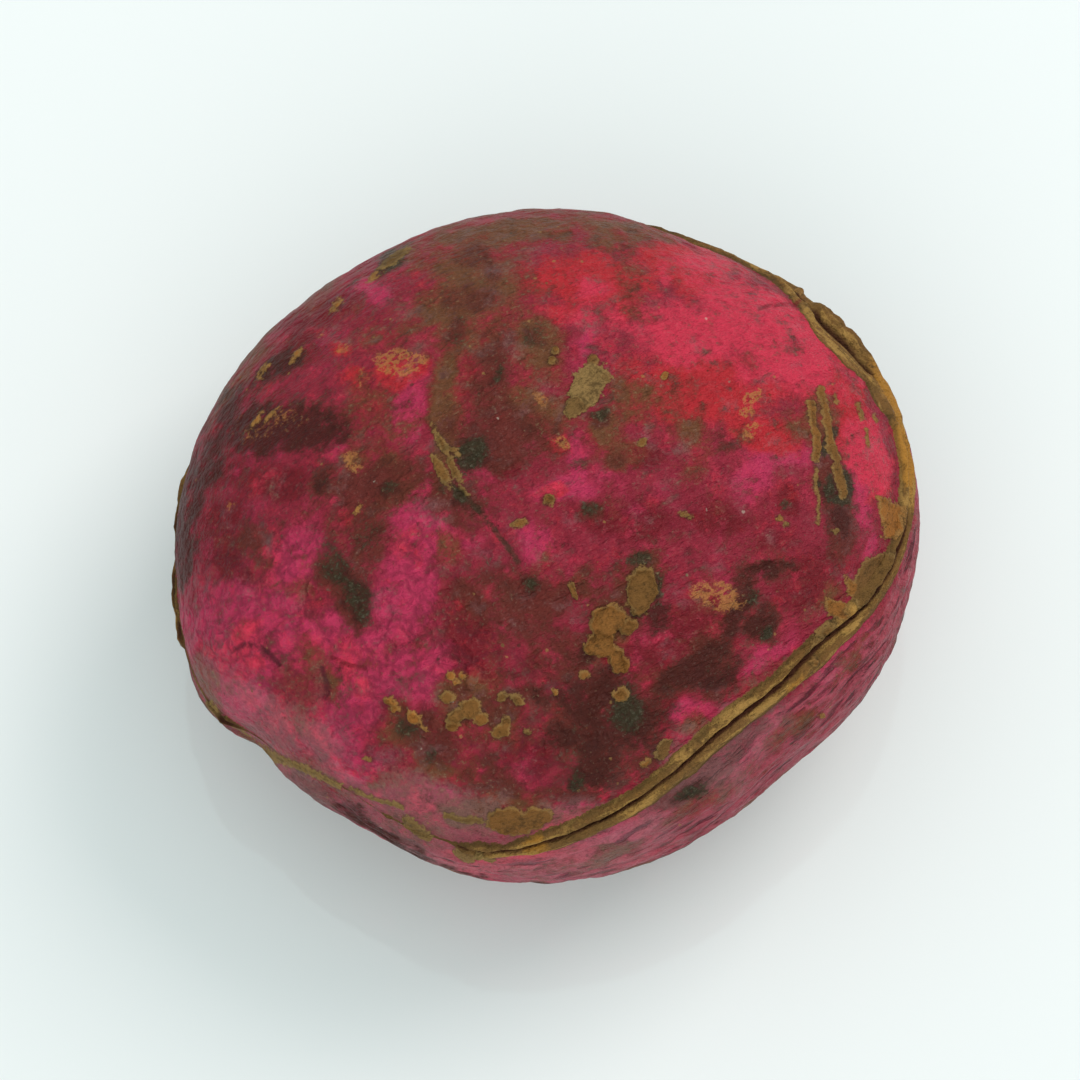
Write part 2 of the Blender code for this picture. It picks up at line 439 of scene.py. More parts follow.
SCABS = {
    "crown plate": (
        Scab(648.6, 590.2, 20, 12.5, 60, -0.6), Scab(644.2, 598.2, 10, 7.6, 20, -0.3),
        Scab(651, 580.5, 4, 4.6, 0, 0.2, Cork.CRUMB), Scab(655.2, 587, 5, 5, 0, -0.4),
    ),
    "crown crumb": (
        Scab(636.6, 577.4, 4, 3.4, 20, 0.3, Cork.CRUMB), Scab(635.5, 581, 3.6, 3.4, 0, 0.3, Cork.CRUMB),
    ),
    "fibres": (
        Scab(594.6, 611.5, 14, 3, -62, 0.2, Cork.FIBRE), Scab(597.8, 613.5, 9, 2.6, -35, 0.2, Cork.FIBRE),
        Scab(594.2, 621.5, 15, 4, -62, 0.2, Cork.FIBRE), Scab(599.2, 621, 13, 3.2, -66, 0.1, Cork.FIBRE),
        Scab(602.5, 629, 6, 2.4, -50, 0, Cork.FIBRE),
    ),
    "ring": (Scab(668.2, 666, 20, 11.5, 82, 0.15, Cork.RING),),
    "folded flake": (
        Scab(655.5, 677, 15, 11, 40, 0.45, Cork.FOLD), Scab(653, 685, 11, 12, 0, 0.45, Cork.FOLD),
        Scab(659.5, 691.5, 11, 8, -50, 0.45, Cork.FOLD), Scab(663, 679, 8, 6, 0, 0.3, Cork.FOLD),
    ),
    "oval by the seam": (Scab(620, 751.5, 18, 11.5, -4, 0.35), Scab(630, 749.6, 11, 9, 20, 0.3)),
    "cluster": (
        Scab(605.5, 709.5, 9, 8.5, 30, 0.3), Scab(600.5, 712, 8, 6, 30, 0.2),
        Scab(609.3, 713.5, 5.5, 5.5, 0, 0.45), Scab(599, 715.5, 5, 4.5, 0, 0.4, Cork.RING),
        Scab(597, 705.4, 6.2, 4, 0, 0.3),
    ),
    "bean": (
        Scab(617, 705.6, 5.5, 3.4, 40, 0.15), Scab(622.5, 706.5, 6.5, 4, -30, 0.15),
        Scab(618.5, 714.6, 4, 5, 0, 0.3), Scab(616.5, 718, 7.5, 5.5, 20, 0.3),
        Scab(626.5, 718.2, 3.2, 3, 0, 0.1),
    ),
    "orange dot": (
        Scab(598, 697.4, 3, 3, 0, 0.9, Cork.CRUMB), Scab(602.4, 697.3, 3, 2.8, 0, 0.9, Cork.CRUMB),
        Scab(600, 699.6, 2.6, 2.6, 0, 0.9, Cork.CRUMB),
    ),
    "orange crumb": (
        Scab(576, 707, 5, 4.5, 0, 0.8, Cork.CRUMB), Scab(577.4, 710, 4, 3.6, 0, 0.9, Cork.CRUMB),
        Scab(584.4, 712.8, 5.5, 4.6, -20, 1, Cork.CRUMB), Scab(588.3, 716.2, 4, 2, -45, 0.9, Cork.CRUMB),
        Scab(567.4, 728.2, 3.6, 1.8, 0, 0.5),
    ),
    "bead": (
        Scab(636.6, 703.7, 2.6, 2.6, 0, 0.8, Cork.CRUMB), Scab(647.2, 697.2, 4.2, 3.4, 20, 0.5, Cork.CRUMB),
    ),
    "crown": (
        Scab(643.4, 666.2, 3, 6.5, 20, 0.3), Scab(634.4, 632.5, 5, 4.6, 30, 0.4),
        Scab(623.6, 641.2, 5.6, 3.4, 20, 0.4),
    ),
    "loop by the mould": (Scab(660.5, 704, 6, 5.5, 0, 0.3, Cork.RING),),
    "on the lip": (
        Facet(((676.4, 720.8), (680.4, 722), (678.4, 727), (674.4, 729), (672.6, 726)), 0),
        Scab(670, 729.6, 4.6, 3.4, 35, 0.5),
        Facet(((755.8, 630.4), (765.6, 635), (764.6, 641), (761.8, 647.4), (758.2, 646)), 0.8),
        Facet(((752.8, 653.4), (761.4, 652), (755, 667.4), (747, 673.4), (747.4, 662.6)), 0),
        Facet(((743.8, 660.4), (748.4, 663), (748.4, 669.4), (745, 667.6)), 0.6),
        Facet(((736.2, 668.4), (744.6, 670.6), (743, 676.6), (737.6, 676)), 0.6),
        Facet(((733, 681.5), (741, 675.5), (736, 682.5), (728, 689.5)), 0.1),
    ),
    "streak": (
        Strip(((731.2, 597), (732, 604), (733.6, 610), (733, 617)), 3.4, 0.45),
        Strip(((735, 591.5), (736.4, 598), (737.4, 604), (738.6, 611.5)), 2.8, 0.35),
        Strip(((739, 613.5), (741, 618), (741.2, 624), (742.8, 630)), 4, 0.2),
        Strip(((748.6, 597), (750.4, 602)), 1.8, 0.35), Strip(((751.6, 606.5), (752.6, 612.5)), 1.6, 0.35),
        Strip(((754.6, 601.6), (755.4, 603.4)), 1.6, 0.35),
        Strip(((740.2, 594), (740.8, 596.4)), 1.6, 0.35),
        Strip(((733.3, 621), (733.1, 625), (733.6, 633), (733.3, 641.5)), 1.4, 0.2),
    ),
    "speck": (
        Scab(726.6, 555.6, 4, 3.4, 30, 0.5, Cork.CRUMB), Scab(731.4, 691.8, 3.6, 2.8, 40, 0.5, Cork.CRUMB),
        Scab(734.4, 711.8, 2.4, 2, 0, 0.8, Cork.CRUMB), Scab(719.4, 639, 2.4, 2.4, 0, 0.8, Cork.CRUMB),
        Scab(721.8, 641.6, 2.2, 2.2, 0, 0.1, Cork.CRUMB), Scab(739.6, 644, 2.4, 2.2, 0, 0, Cork.CRUMB),
    ),
    "seam's end": (
        Strip(((508, 708), (516, 717), (528, 725), (535, 729), (545, 733.2), (556, 739)), 2.4, -0.5),
        Strip(((560.5, 740.4), (570, 743.2), (580, 745.8)), 1.9, -0.4),
        Strip(((517, 719.6), (523, 726), (530, 730.4)), 3, -0.9),
        Strip(((581.5, 751.6), (585, 754.6), (589, 757.2)), 4, -0.4, Cork.CRUMB),
        Strip(((596, 749.4), (602, 751), (609, 751.4)), 2.4, -0.2),
        Strip(((600.5, 763), (605.5, 765.2)), 3.2, -0.5, Cork.CRUMB),
        Strip(((608.4, 763.2), (613, 765.8)), 3, -0.6, Cork.CRUMB),
    ),
    "chip": (
        Scab(668.8, 611.2, 3, 3.2, 0, 0.3), Scab(677.2, 586.8, 2.8, 3.4, -40, 0.7),
        Scab(685.4, 638.4, 4.2, 2.2, -10, 0.3), Scab(683.5, 638, 3, 2, 0, 0.3),
    ),
    "left shoulder": (
        Scab(577, 543.5, 15, 4, 34, 0, Cork.FIBRE), Scab(564, 635.6, 4.4, 1.6, 60, 1, Cork.FIBRE),
        Scab(569.5, 549.5, 6, 1.8, 42, 0.7, Cork.FIBRE), Scab(555.4, 560.4, 6.5, 2.6, 50, 0.8, Cork.FIBRE),
        Scab(541, 578.5, 7, 1.8, 55, 0.8, Cork.FIBRE), Scab(529, 584, 8, 2.2, 50, 0.8, Cork.FIBRE),
        Scab(526, 603, 8, 1.6, 60, 1, Cork.FIBRE), Scab(531.5, 601, 7, 1.4, 40, 1, Cork.FIBRE),
    ),
}

# Thin pale flakes, where the coat is worn. In all tables, marks are grouped by where they lie
FLAKES = {
    "upper left": (
        Mark(580, 581, 17, 10, 0, 1.3), Mark(558.6, 576.5, 10, 5, 30, 0.8), Mark(565, 588, 8, 6, 60, 0.6),
        Mark(550.5, 570, 5, 4, 40, 0.7), Mark(562.4, 618.4, 9, 9, 0, 0.9),
    ),
    "left": (Mark(532, 604, 34, 14, 10, 0.45), Mark(516.5, 636, 5, 6, 0, 0.7)),
    "right": (
        Mark(709, 593, 8, 5, 40, 0.9), Mark(707, 600, 5, 4), Mark(708.4, 607.4, 9, 5, 40, 0.9),
        Mark(697.5, 668.5, 20, 10, -20),
    ),
    "crown": (Mark(632, 595, 8, 5, -40, 0.7), Mark(639.5, 612, 8, 3.6, -45, 0.9)),
}

# Where the crimson coat is at its darkest and clearest
DEEPS = {
    "left": (
        Mark(547, 569, 36, 14, 46), Mark(508, 611, 26, 14, 62), Mark(527, 626, 38, 13, 0, 0.9),
        Mark(514, 645, 24, 16, 80, 0.9), Mark(518, 660, 17, 9, 90),
    ),
    "crown": (Mark(617, 619, 12, 12, 0, 0.9), Mark(605, 586, 16, 5, 85, 0.8)),
    "right": (
        Mark(668, 616, 28, 10, 10, 0.9), Mark(661, 640, 42, 15, 0, 0.8), Mark(698, 640, 42, 12, -5, 0.8),
        Mark(722, 633, 12, 8, 90, 0.9), Mark(731, 660, 26, 18, 50), Mark(718, 650, 20, 10, 0, 0.6),
    ),
    "lower": (
        Mark(690, 679, 46, 18, 20, 0.9), Mark(672, 700, 40, 22, -60, 0.9), Mark(606, 684, 40, 16, -70),
        Mark(627, 729, 20, 15, 0, 0.8), Mark(635, 696, 18, 9, 0, 0.8),
    ),
}
MAGENTAS = {
    "left": (
        Mark(587, 643, 31, 19, -80, 1.1), Mark(581, 667, 38, 20, 75, 1.1), Mark(540, 655, 30, 17, 68),
        Mark(519, 676, 42, 24, 10, 1.1), Mark(521, 698, 28, 18, 88, 1.1),
    ),
    "lower left": (
        Mark(556, 688, 42, 24, -5, 1.1), Mark(585, 695, 34, 18, 0, 1.1), Mark(560, 711, 34, 18, 80, 1.1),
        Mark(562, 729, 20, 14),
    ),
    "upper left": (
        Mark(584, 596, 18, 12, 68, 0.9), Mark(579, 606, 14, 8, 30, 0.9), Mark(568, 555, 13, 9, 0, 0.8),
        Mark(580, 561, 10, 7, 60, 0.8),
    ),
    "crown": (
        Mark(645, 619, 24, 8, 80, 0.9), Mark(639, 628, 26, 9, 12, 0.9), Mark(649, 573, 11, 5, 90, 0.7),
        Mark(628, 649, 13, 12, 0, 0.8), Mark(604, 649, 10, 8, 0, 0.7),
    ),
    "right": (
        Mark(710, 622, 24, 13, 60, 0.9), Mark(722, 616, 20, 8, 0, 0.8), Mark(749, 629, 26, 6, -74),
        Mark(753, 649, 8, 6, 90, 0.8),
    ),
    "flank": (
        Mark(593, 741, 11, 6, 0, 0.9), Mark(645, 747.5, 16, 4, 12), Mark(686, 711, 13, 9, 15, 0.8),
        Mark(715, 691, 24, 7, 44, 0.8), Mark(657, 756, 30, 6, 25), Mark(708, 722, 40, 8, 40, 0.8),
        Mark(625, 770, 60, 9, 4, 0.9), Mark(742, 692, 34, 8, 50, 0.9),
    ),
}
SCARLETS = {
    "crown": (
        Mark(650, 552, 44, 23, 0, 1.1), Mark(685, 547, 36, 20, -18), Mark(635, 629, 13, 6, 10, 0.9),
        Mark(637, 613, 8, 6, 60, 0.7), Mark(558, 577, 8, 6, 0, 0.9), Mark(564, 588, 9, 8, 0, 0.9),
        Mark(579, 584, 17, 15, 0, 0.8),
    ),
    "right": (
        Mark(690, 592, 62, 25, -6, 1.1), Mark(712, 607, 28, 16, -10), Mark(741, 598, 40, 17, -62, 1.1),
        Mark(755, 627, 12, 8, 80, 0.9),
    ),
}
# Pink patches of the coat; on the right slope partly a painted highlight where light falls, and at the
# bottom painted bounce light from the floor
PINKS_AND_LIT_PATCHES = {
    "right": (
        Mark(716, 571, 66, 27, -40, 1.15), Mark(684, 570, 54, 12, -4), Mark(691, 545, 22, 10, -20),
        Mark(688, 572, 54, 24, -10), Mark(652, 566, 22, 12, 0, 0.6), Mark(753, 617, 28, 13, -72, 1.1),
        Mark(731, 590, 24, 8, 10, 0.8), Mark(651, 556, 13, 8, 0, 0.8), Mark(676, 552, 15, 5, 85, 0.8),
    ),
    "left": (
        Mark(523, 680, 10, 7, 0, 0.8), Mark(524, 693, 9, 7, 0, 0.8), Mark(565, 702, 8, 6, 0, 0.8),
        Mark(586, 644, 7, 6, 0, 0.7), Mark(518, 692, 26, 22, -60, 0.55), Mark(556, 690, 34, 16, 0, 0.5),
        Mark(545, 716, 30, 16, -35, 0.55), Mark(566, 734, 30, 12, -20, 0.3),
    ),
    "bottom": (
        Mark(634, 629, 12, 5, 10, 0.6), Mark(588, 748, 44, 9, -18, 0.45), Mark(643, 752, 30, 5, 12, 0.8),
        # painted bounce light from the floor, along the bottom of the flank
        Mark(630, 766, 80, 10, 5),
    ),
}

# Brown and olive dust, rubbed into the wrinkles: from a reddish veil at 0.5 to olive brown at 1
HAZES = {
    "top rim": (
        Mark(617, 534, 58, 13, 8, 1.2), Mark(655, 532, 44, 10, -8, 1.1),
        Mark(590, 544, 18, 15, 30, 0.7),
    ),
    "crown": (
        Mark(602, 558, 44, 30, 78, 1.2), Mark(596, 603, 54, 10, 90, 1.3), Mark(618, 556, 30, 12, 88, 0.9),
        Mark(629, 575, 24, 22, 20, 1.1), Mark(627, 597, 28, 9, 0, 1.1),
        Mark(631, 589, 20, 10, 0, 0.65), Mark(626, 553, 22, 13, 88, 0.6), Mark(635, 602, 26, 18, 0, 0.8),
        Mark(610, 560, 40, 60, 0, 0.7), Mark(664, 550, 23, 11, 90, 0.75), Mark(655, 538, 12, 6, -20, 0.8),
    ),
    "right": (
        Mark(665, 594, 20, 14, -10, 1.1), Mark(672, 593, 26, 20, -30, 0.45),
        Mark(657, 607, 18, 13, -70, 1.1), Mark(662, 616, 14, 10, 20, 1.1), Mark(686, 609, 14, 10, 80, 1.2),
        Mark(686, 611, 24, 17, 90, 0.6), Mark(705, 608, 8, 5, 0, 0.6), Mark(734, 604, 18, 13, 80, 1.2),
        Mark(727, 607, 8, 12, 0, 0.7), Mark(742, 624, 8, 5, 90), Mark(735, 622, 12, 8, 60, 0.6),
    ),
    "upper left": (
        Mark(575, 570, 34, 20, 10, 0.55), Mark(572, 603, 34, 20, -70, 0.6), Mark(548, 556, 26, 8, 36, 0.7),
        Mark(578, 543, 14, 6, 30, 1.1), Mark(562, 618, 12, 11, 0, 0.7), Mark(520, 585, 50, 6, 52, 0.8),
    ),
    "left": (
        Mark(543, 666, 14, 12, 0, 0.6), Mark(541, 704, 36, 12, 80, 0.5), Mark(506, 698, 18, 8, -60, 0.6),
        Mark(551, 701, 12, 5, 90), Mark(577, 618, 10, 5, 20), Mark(565, 652, 7, 4, 90),
        Mark(596, 649, 14, 9, 85, 0.7), Mark(577, 630, 20, 10, 30, 0.8),
    ),
    "lower": (
        Mark(579, 715, 18, 12, -70, 1.2), Mark(592, 731, 26, 8, -10, 1.1), Mark(603, 705, 24, 18, 30, 1.1),
        Mark(617, 713, 20, 10, 85, 1.1), Mark(588, 735, 34, 12, -8, 0.6), Mark(617, 747, 36, 16, 0, 1.1),
        Mark(600, 750, 14, 6, -25, 1.3), Mark(571, 737, 8, 4, 10, 1.2), Mark(606, 728, 30, 14, 85, 0.6),
    ),
    "centre": (
        Mark(614, 700, 14, 12, 80, 0.6), Mark(645, 665, 9, 8, 0, 0.7), Mark(631, 652, 7, 5, 60, 0.6),
        Mark(668, 665, 22, 15, 80), Mark(656, 682, 24, 16, 80),
    ),
    "lower right": (
        Mark(697, 668, 19, 12, -15, 0.7), Mark(702, 669, 9, 8, 0, 1.1), Mark(689, 717, 13, 10, 20, 0.65),
        Mark(665, 736, 16, 8, 20, 0.3), Mark(736, 668, 14, 8, 50, 0.7), Mark(712, 699, 26, 8, 42, 0.6),
    ),
    "flank": (
        Mark(540, 733, 60, 8, -28, 0.6), Mark(586, 755, 30, 10, -22, 0.6), Mark(507, 700, 20, 8, -65, 0.8),
        Mark(648, 750, 50, 7, 14, 0.6), Mark(656, 763, 20, 6, 22, 1.1), Mark(725, 716, 20, 7, 40),
        Mark(745, 690, 24, 5, 58, 0.8), Mark(690, 745, 40, 8, 36, 0.7), Mark(640, 768, 60, 6, 12, 0.45),
    ),
}
BROWNS = {
    "crown": (
        Mark(607, 541, 15, 9, 0, 0.9), Mark(612, 549, 10, 8, 60, 0.9), Mark(605, 558, 21, 13),
        Mark(599, 571, 13, 9, 60, 0.9), Mark(614, 586, 32, 15, 88, 1.1), Mark(618, 610, 40, 25, -5, 1.2),
        Mark(629, 571, 9, 7, 0, 0.9), Mark(603, 633, 26, 18, -20, 1.1), Mark(653, 602, 9, 6, 30, 0.9),
    ),
    "left": (
        Mark(572, 628, 40, 19, 25, 1.2), Mark(551, 627, 26, 11, 70, 0.8), Mark(567, 648, 26, 12, 68, 0.95),
        Mark(559, 664, 32, 15, -68, 1.1), Mark(525, 648, 10, 9), Mark(535, 585, 30, 10, 42, 0.9),
        Mark(556, 600, 14, 12, 0, 0.8),
    ),
    "right": (
        Mark(658, 617, 9, 7, 0, 0.8), Mark(650, 637, 10, 9), Mark(740, 626, 32, 13, -78, 1.2),
        Mark(741, 648, 20, 11, 70, 1.1), Mark(697, 614, 9, 8, 0, 0.6),
    ),
    "centre": (
        Mark(590, 720, 26, 18, -20, 1.1), Mark(603, 702, 10, 8, 0, 0.8), Mark(634, 706, 14, 12, 0, 0.9),
        Mark(622, 671, 42, 26, -8, 1.1), Mark(640, 690, 26, 26), Mark(667, 667, 30, 19, 80),
        Mark(650, 672, 18, 24, 0, 0.8),
    ),
    "lower": (
        Mark(619, 712, 32, 26, 0, 0.8), Mark(612, 736, 24, 14, -30, 0.9), Mark(655, 718, 44, 44, 0, 1.2),
        Mark(643, 741, 24, 8, 5),
    ),
    "lower right": (
        Mark(690, 693, 36, 18, 36, 1.1), Mark(714, 678, 15, 13, 0, 1.1), Mark(705, 672, 22, 12, 70, 0.9),
        Mark(713, 661, 28, 10, 12, 0.9), Mark(699, 704, 12, 10, 0, 0.9),
    ),
    "flank": (
        Mark(680, 742, 30, 11, 32, 1.25), Mark(697, 730, 24, 11, 40, 1.1), Mark(711, 717, 20, 9, 42, 1.1),
        Mark(574, 758, 8, 5, -40, 0.9), Mark(546, 739, 26, 6, -28, 0.9), Mark(583, 760, 22, 4, -38),
        Mark(599, 768.5, 14, 3, -14, 0.9),
    ),
}
DARKS = {
    "left": (
        Mark(533, 584, 26, 9, 38), Mark(516, 596, 18, 8, 52), Mark(535, 606, 50, 19, -2, 1.25),
        # The marks on the far left edge, at x 498 to 507, are painted shadow cast by a neighbouring nut
        Mark(551, 605, 16, 12), Mark(507, 622, 20, 12, 60, 0.9), Mark(498, 636, 42, 15, 86, 1.1),
        Mark(498, 656, 16, 8, 80), Mark(552, 628, 11, 7, 60, 0.8), Mark(605, 634, 10, 5, -30, 0.9),
        Mark(563, 669, 18, 9, -70), Mark(557, 657, 10, 8, 0, 0.7),
    ),
    "centre": (
        Mark(628, 665, 8, 7, 0, 0.9), Mark(676, 675, 12, 8, 25, 1.1), Mark(647, 691, 9, 8, 0, 0.9),
        Mark(632, 705, 8, 7, 0, 0.9),
    ),
    "right": (Mark(742, 641, 10, 6, 90), Mark(739, 629, 10, 6, 80)),
    "lower right": (
        Mark(655, 712, 38, 26, -8, 1.15), Mark(652, 729, 20, 18, 90, 1.2), Mark(640, 720, 14, 12),
        Mark(643, 737, 8, 5, 90, 0.9), Mark(689, 693, 30, 12, 36, 1.1), Mark(697, 699, 13, 10),
        Mark(713, 661, 26, 7, 12, 0.85), Mark(704, 674, 20, 7, 72, 1.1), Mark(714, 677, 10, 10, 0, 1.1),
        Mark(742, 678, 9, 5, 50, 0.9),
    ),
    "flank": (Mark(686, 741, 16, 5, 28, 0.8), Mark(579, 760, 48, 5, -36, 1.2), Mark(603, 770, 16, 3, -14)),
    "crown": (Mark(605, 617, 14, 13, 0, 0.9), Mark(615, 588, 8, 6, 80, 0.7), Mark(576, 627, 8, 6, 0, 0.8)),
}

# Green-black mould, and a painted shadow beside the crown plate
MOULDS_AND_SHADE = {
    "crown": (
        # Beside the crown plate, the marks at 653.5, 600.5 and at 656.8, 594 are its painted shadow, in
        # mould colour
        Mark(605.5, 616, 14, 11, 84, 1.2), Mark(653.5, 600.5, 9, 4.5, 20), Mark(656.8, 594, 4, 5, 0, 0.9),
        Mark(649.4, 636, 8, 7, 0, 0.8), Mark(576, 627, 6, 5, 0, 0.9), Mark(628, 572, 10, 9, 0, 0.65),
        Mark(616, 587, 7, 4, 85, 0.8), Mark(602, 570, 12, 8, 60, 0.4), Mark(602.5, 630.5, 10, 4, -38, 1.1),
        Mark(596, 629.5, 4, 4, 0, 0.8),
    ),
    "lower": (
        Mark(663, 710.5, 18, 13, 80, 1.05), Mark(644.5, 737, 8, 7, 0, 0.7), Mark(590, 726, 6, 8, 0, 0.8),
        Mark(582, 718, 10, 6, -30, 0.65),
    ),
    "centre": (
        Mark(667.5, 655.5, 9, 6, 0, 0.9), Mark(675, 667, 4, 14, 10, 0.7), Mark(667, 675, 8, 4, 0, 0.8),
        Mark(707.5, 669, 7, 8, 0, 0.7), Mark(715, 680.5, 4.5, 5, 0, 0.9),
    ),
    "left": (
        Mark(556, 655, 20, 9, -62, 0.7), Mark(563.5, 669, 20, 10, -66, 0.6),
        Mark(568, 646, 14, 6, 50, 0.45),
    ),
    "right": (
        Mark(739, 610.5, 14, 4.5, 70, 1.2), Mark(744.4, 627, 16, 4.5, -80, 1.2),
        Mark(742.5, 633, 7, 4, -20, 1.2), Mark(738.2, 627, 12, 3.4, 90), Mark(734.5, 626.5, 3, 4, 0, 0.9),
        Mark(721.4, 634.8, 3.6, 3.4), Mark(717, 616.4, 3.4, 3.4), Mark(628, 664, 5, 5, 0, 0.8),
    ),
    "rim": (
        Mark(577, 543.5, 18, 8, 34, 0.8), Mark(687, 741, 14, 4.5, 22, 0.9), Mark(742, 679, 7, 4, 50, 0.9),
    ),
}

CRAZINGS = {
    "left": (
        Mark(575, 705, 96, 76, -10), Mark(528, 675, 60, 70, -30, 0.8), Mark(625, 715, 90, 60, 0, 0.7),
        Mark(600, 655, 60, 50, 0, 0.65),
    ),
}

# Pale dust towards the seam, and painted bounce light from the floor along the bottom of the flank
DUSTS_AND_BOUNCE_LIGHT = {
    "bottom left": (Mark(536, 724, 96, 30, -38, 0.85),),
    "bottom": (Mark(592, 754, 74, 34, -20, 1.2), Mark(640, 760, 70, 28, 10, 1.3)),
    "bottom right": (Mark(694, 728, 60, 26, 38, 0.9),),
}

# Where cork widens the seam's lips, where the lips fade and where the crack gapes
LIP_PATCHES = {
    "lower right": (Mark(735, 688, 40, 12, 45, 0.55),),
    "upper right": (Mark(743, 575, 36, 14, -52, 1.2), Mark(757, 594, 22, 10, -62, 0.9)),
}
LIP_FADES = {
    "right": (Mark(753, 654, 7, 3.4, -20, 0.8),),
    "bottom": (
        Mark(586, 756, 40, 20, -25, 1.2), Mark(566, 744, 26, 16, -28, 1.3), Mark(616, 763, 18, 12, 0, 0.55),
    ),
    "left": (
        Mark(540, 732, 66, 22, -30, 1.3), Mark(506, 690, 30, 70, 0, 1.1), Mark(500, 620, 40, 90, 20, 1.2),
    ),
    "top": (Mark(550, 548, 90, 40, 42, 1.2), Mark(640, 526, 110, 24)),
}
RIM_FADES = {
    "far left": (Mark(490, 648, 20, 78),),
}
GAPES = {
    "upper right": (Mark(743.5, 573, 30, 14, -52, 1.8),),
    "right": (Mark(754, 664, 40, 14, 60, 0.45), Mark(715, 703, 70, 14, 41, 0.3)),
}

# Where the lips are closed over the crack, and where they are orange
LIP_CLOSED = {
    "right": (Mark(762.5, 614, 40, 14, -70, 1.2),),
    "end": (Mark(602, 762, 60, 14, -20),),
}
RUSTS = {
    "right": (
        Mark(759, 592, 24, 6, -62), Mark(748, 571, 28, 5, -50), Mark(730, 554.6, 18, 4, -30),
        Mark(766, 616, 40, 6, -80), Mark(758.5, 637, 12, 8, -60), Mark(744.6, 664, 5, 5, 0, 0.8),
        Mark(739, 672, 8, 6, 40, 0.9),
    ),
    "lower lip": (
        Mark(743.5, 673.5, 9, 5, 45, 0.8), Mark(724.6, 700, 11, 5, 50, 0.8), Mark(629, 760, 9, 6, 20, 1.1),
        Mark(668, 746, 8, 4, 35, 0.5),
    ),
}


@dataclass(frozen=True)
class Drift:
    """How a colour lies on the coat: by its marks where the photograph shows, else by chance."""

    marks: Marks
    level: float  # of the chance noise from which it lies on the unseen sides
    strength: float = 1.0  # there
    grain_mm: float = 6.0  # size of its patches there
    wander: float = 1.6  # photograph pixels by which its edges wander
    uneven: float = 0.45


DRIFTS = {
    Field.DEEP: Drift(DEEPS, 0.0),
    Field.MAGENTA: Drift(MAGENTAS, -0.08, grain_mm=7.0),
    Field.SCARLET: Drift(SCARLETS, 0.15, 0.8, 9.0),
    Field.PINK: Drift(PINKS_AND_LIT_PATCHES, 0.22, 0.9),
    Field.HAZE: Drift(HAZES, -0.18, 1.1, 5.0),
    Field.BROWN: Drift(BROWNS, 0.08, 1.1),
    Field.DARK: Drift(DARKS, 0.26, 1.1, 5.0),
    Field.MOULD_AND_SHADE: Drift(MOULDS_AND_SHADE, 0.36, 1.1, 2.8, 1.0, 0.35),
    Field.CRAZING: Drift(CRAZINGS, 0.0, 0.8, 9.0, 2.0, 0.2),
    Field.DUST_AND_BOUNCE: Drift(DUSTS_AND_BOUNCE_LIGHT, 0.1, 0.8, 8.0),
    Field.FLAKE: Drift(FLAKES, 0.42, 1.0, 2.4, 1.0, 0.3),
    Field.RUST: Drift(RUSTS, 0.3, 0.9, 2.0, 0.6, 0.35),
}

CREASES = {
    Field.SCRATCH: (Line(((600.5, 629), (609.3, 637.5), (617, 647.2), (623, 655.4))),),
    Field.SLIT: (
        Line(((712, 561.6), (717, 560.4), (722, 560), (726, 559.5))),
        Line(((553, 691), (559, 693.6), (566, 695.2))),
    ),
    Field.HOOK: (
        Line(((517, 688.5), (521, 686.2), (526, 686.4), (531, 689.5), (534, 694))),
        Line(((550, 695), (551.6, 700), (551.8, 705))),
    ),
}


@dataclass(frozen=True)
class Skin:
    """The coat's points, one row or number for each, and what is known of them."""

    points: Values  # x, y, z
    outwards: Values  # direction from the nut's middle
    from_crack: Values  # distance, under 0 below the crack
    shown: Values  # how surely the photograph shows it, from 0 to 1
    seen: Pixels  # where in the photograph

    def noise(self, grain_mm: float, shift: float, octaves: int = 1) -> Values:
        """Smooth noise at each point."""
        return soft_noise(self.points / MM, grain_mm, shift, octaves)

    def moved(self, right: Values, down: Values) -> Pixels:
        """Where the photograph would show the points, if they were moved by so many pixels."""
        return self.seen[0] + right, self.seen[1] + down


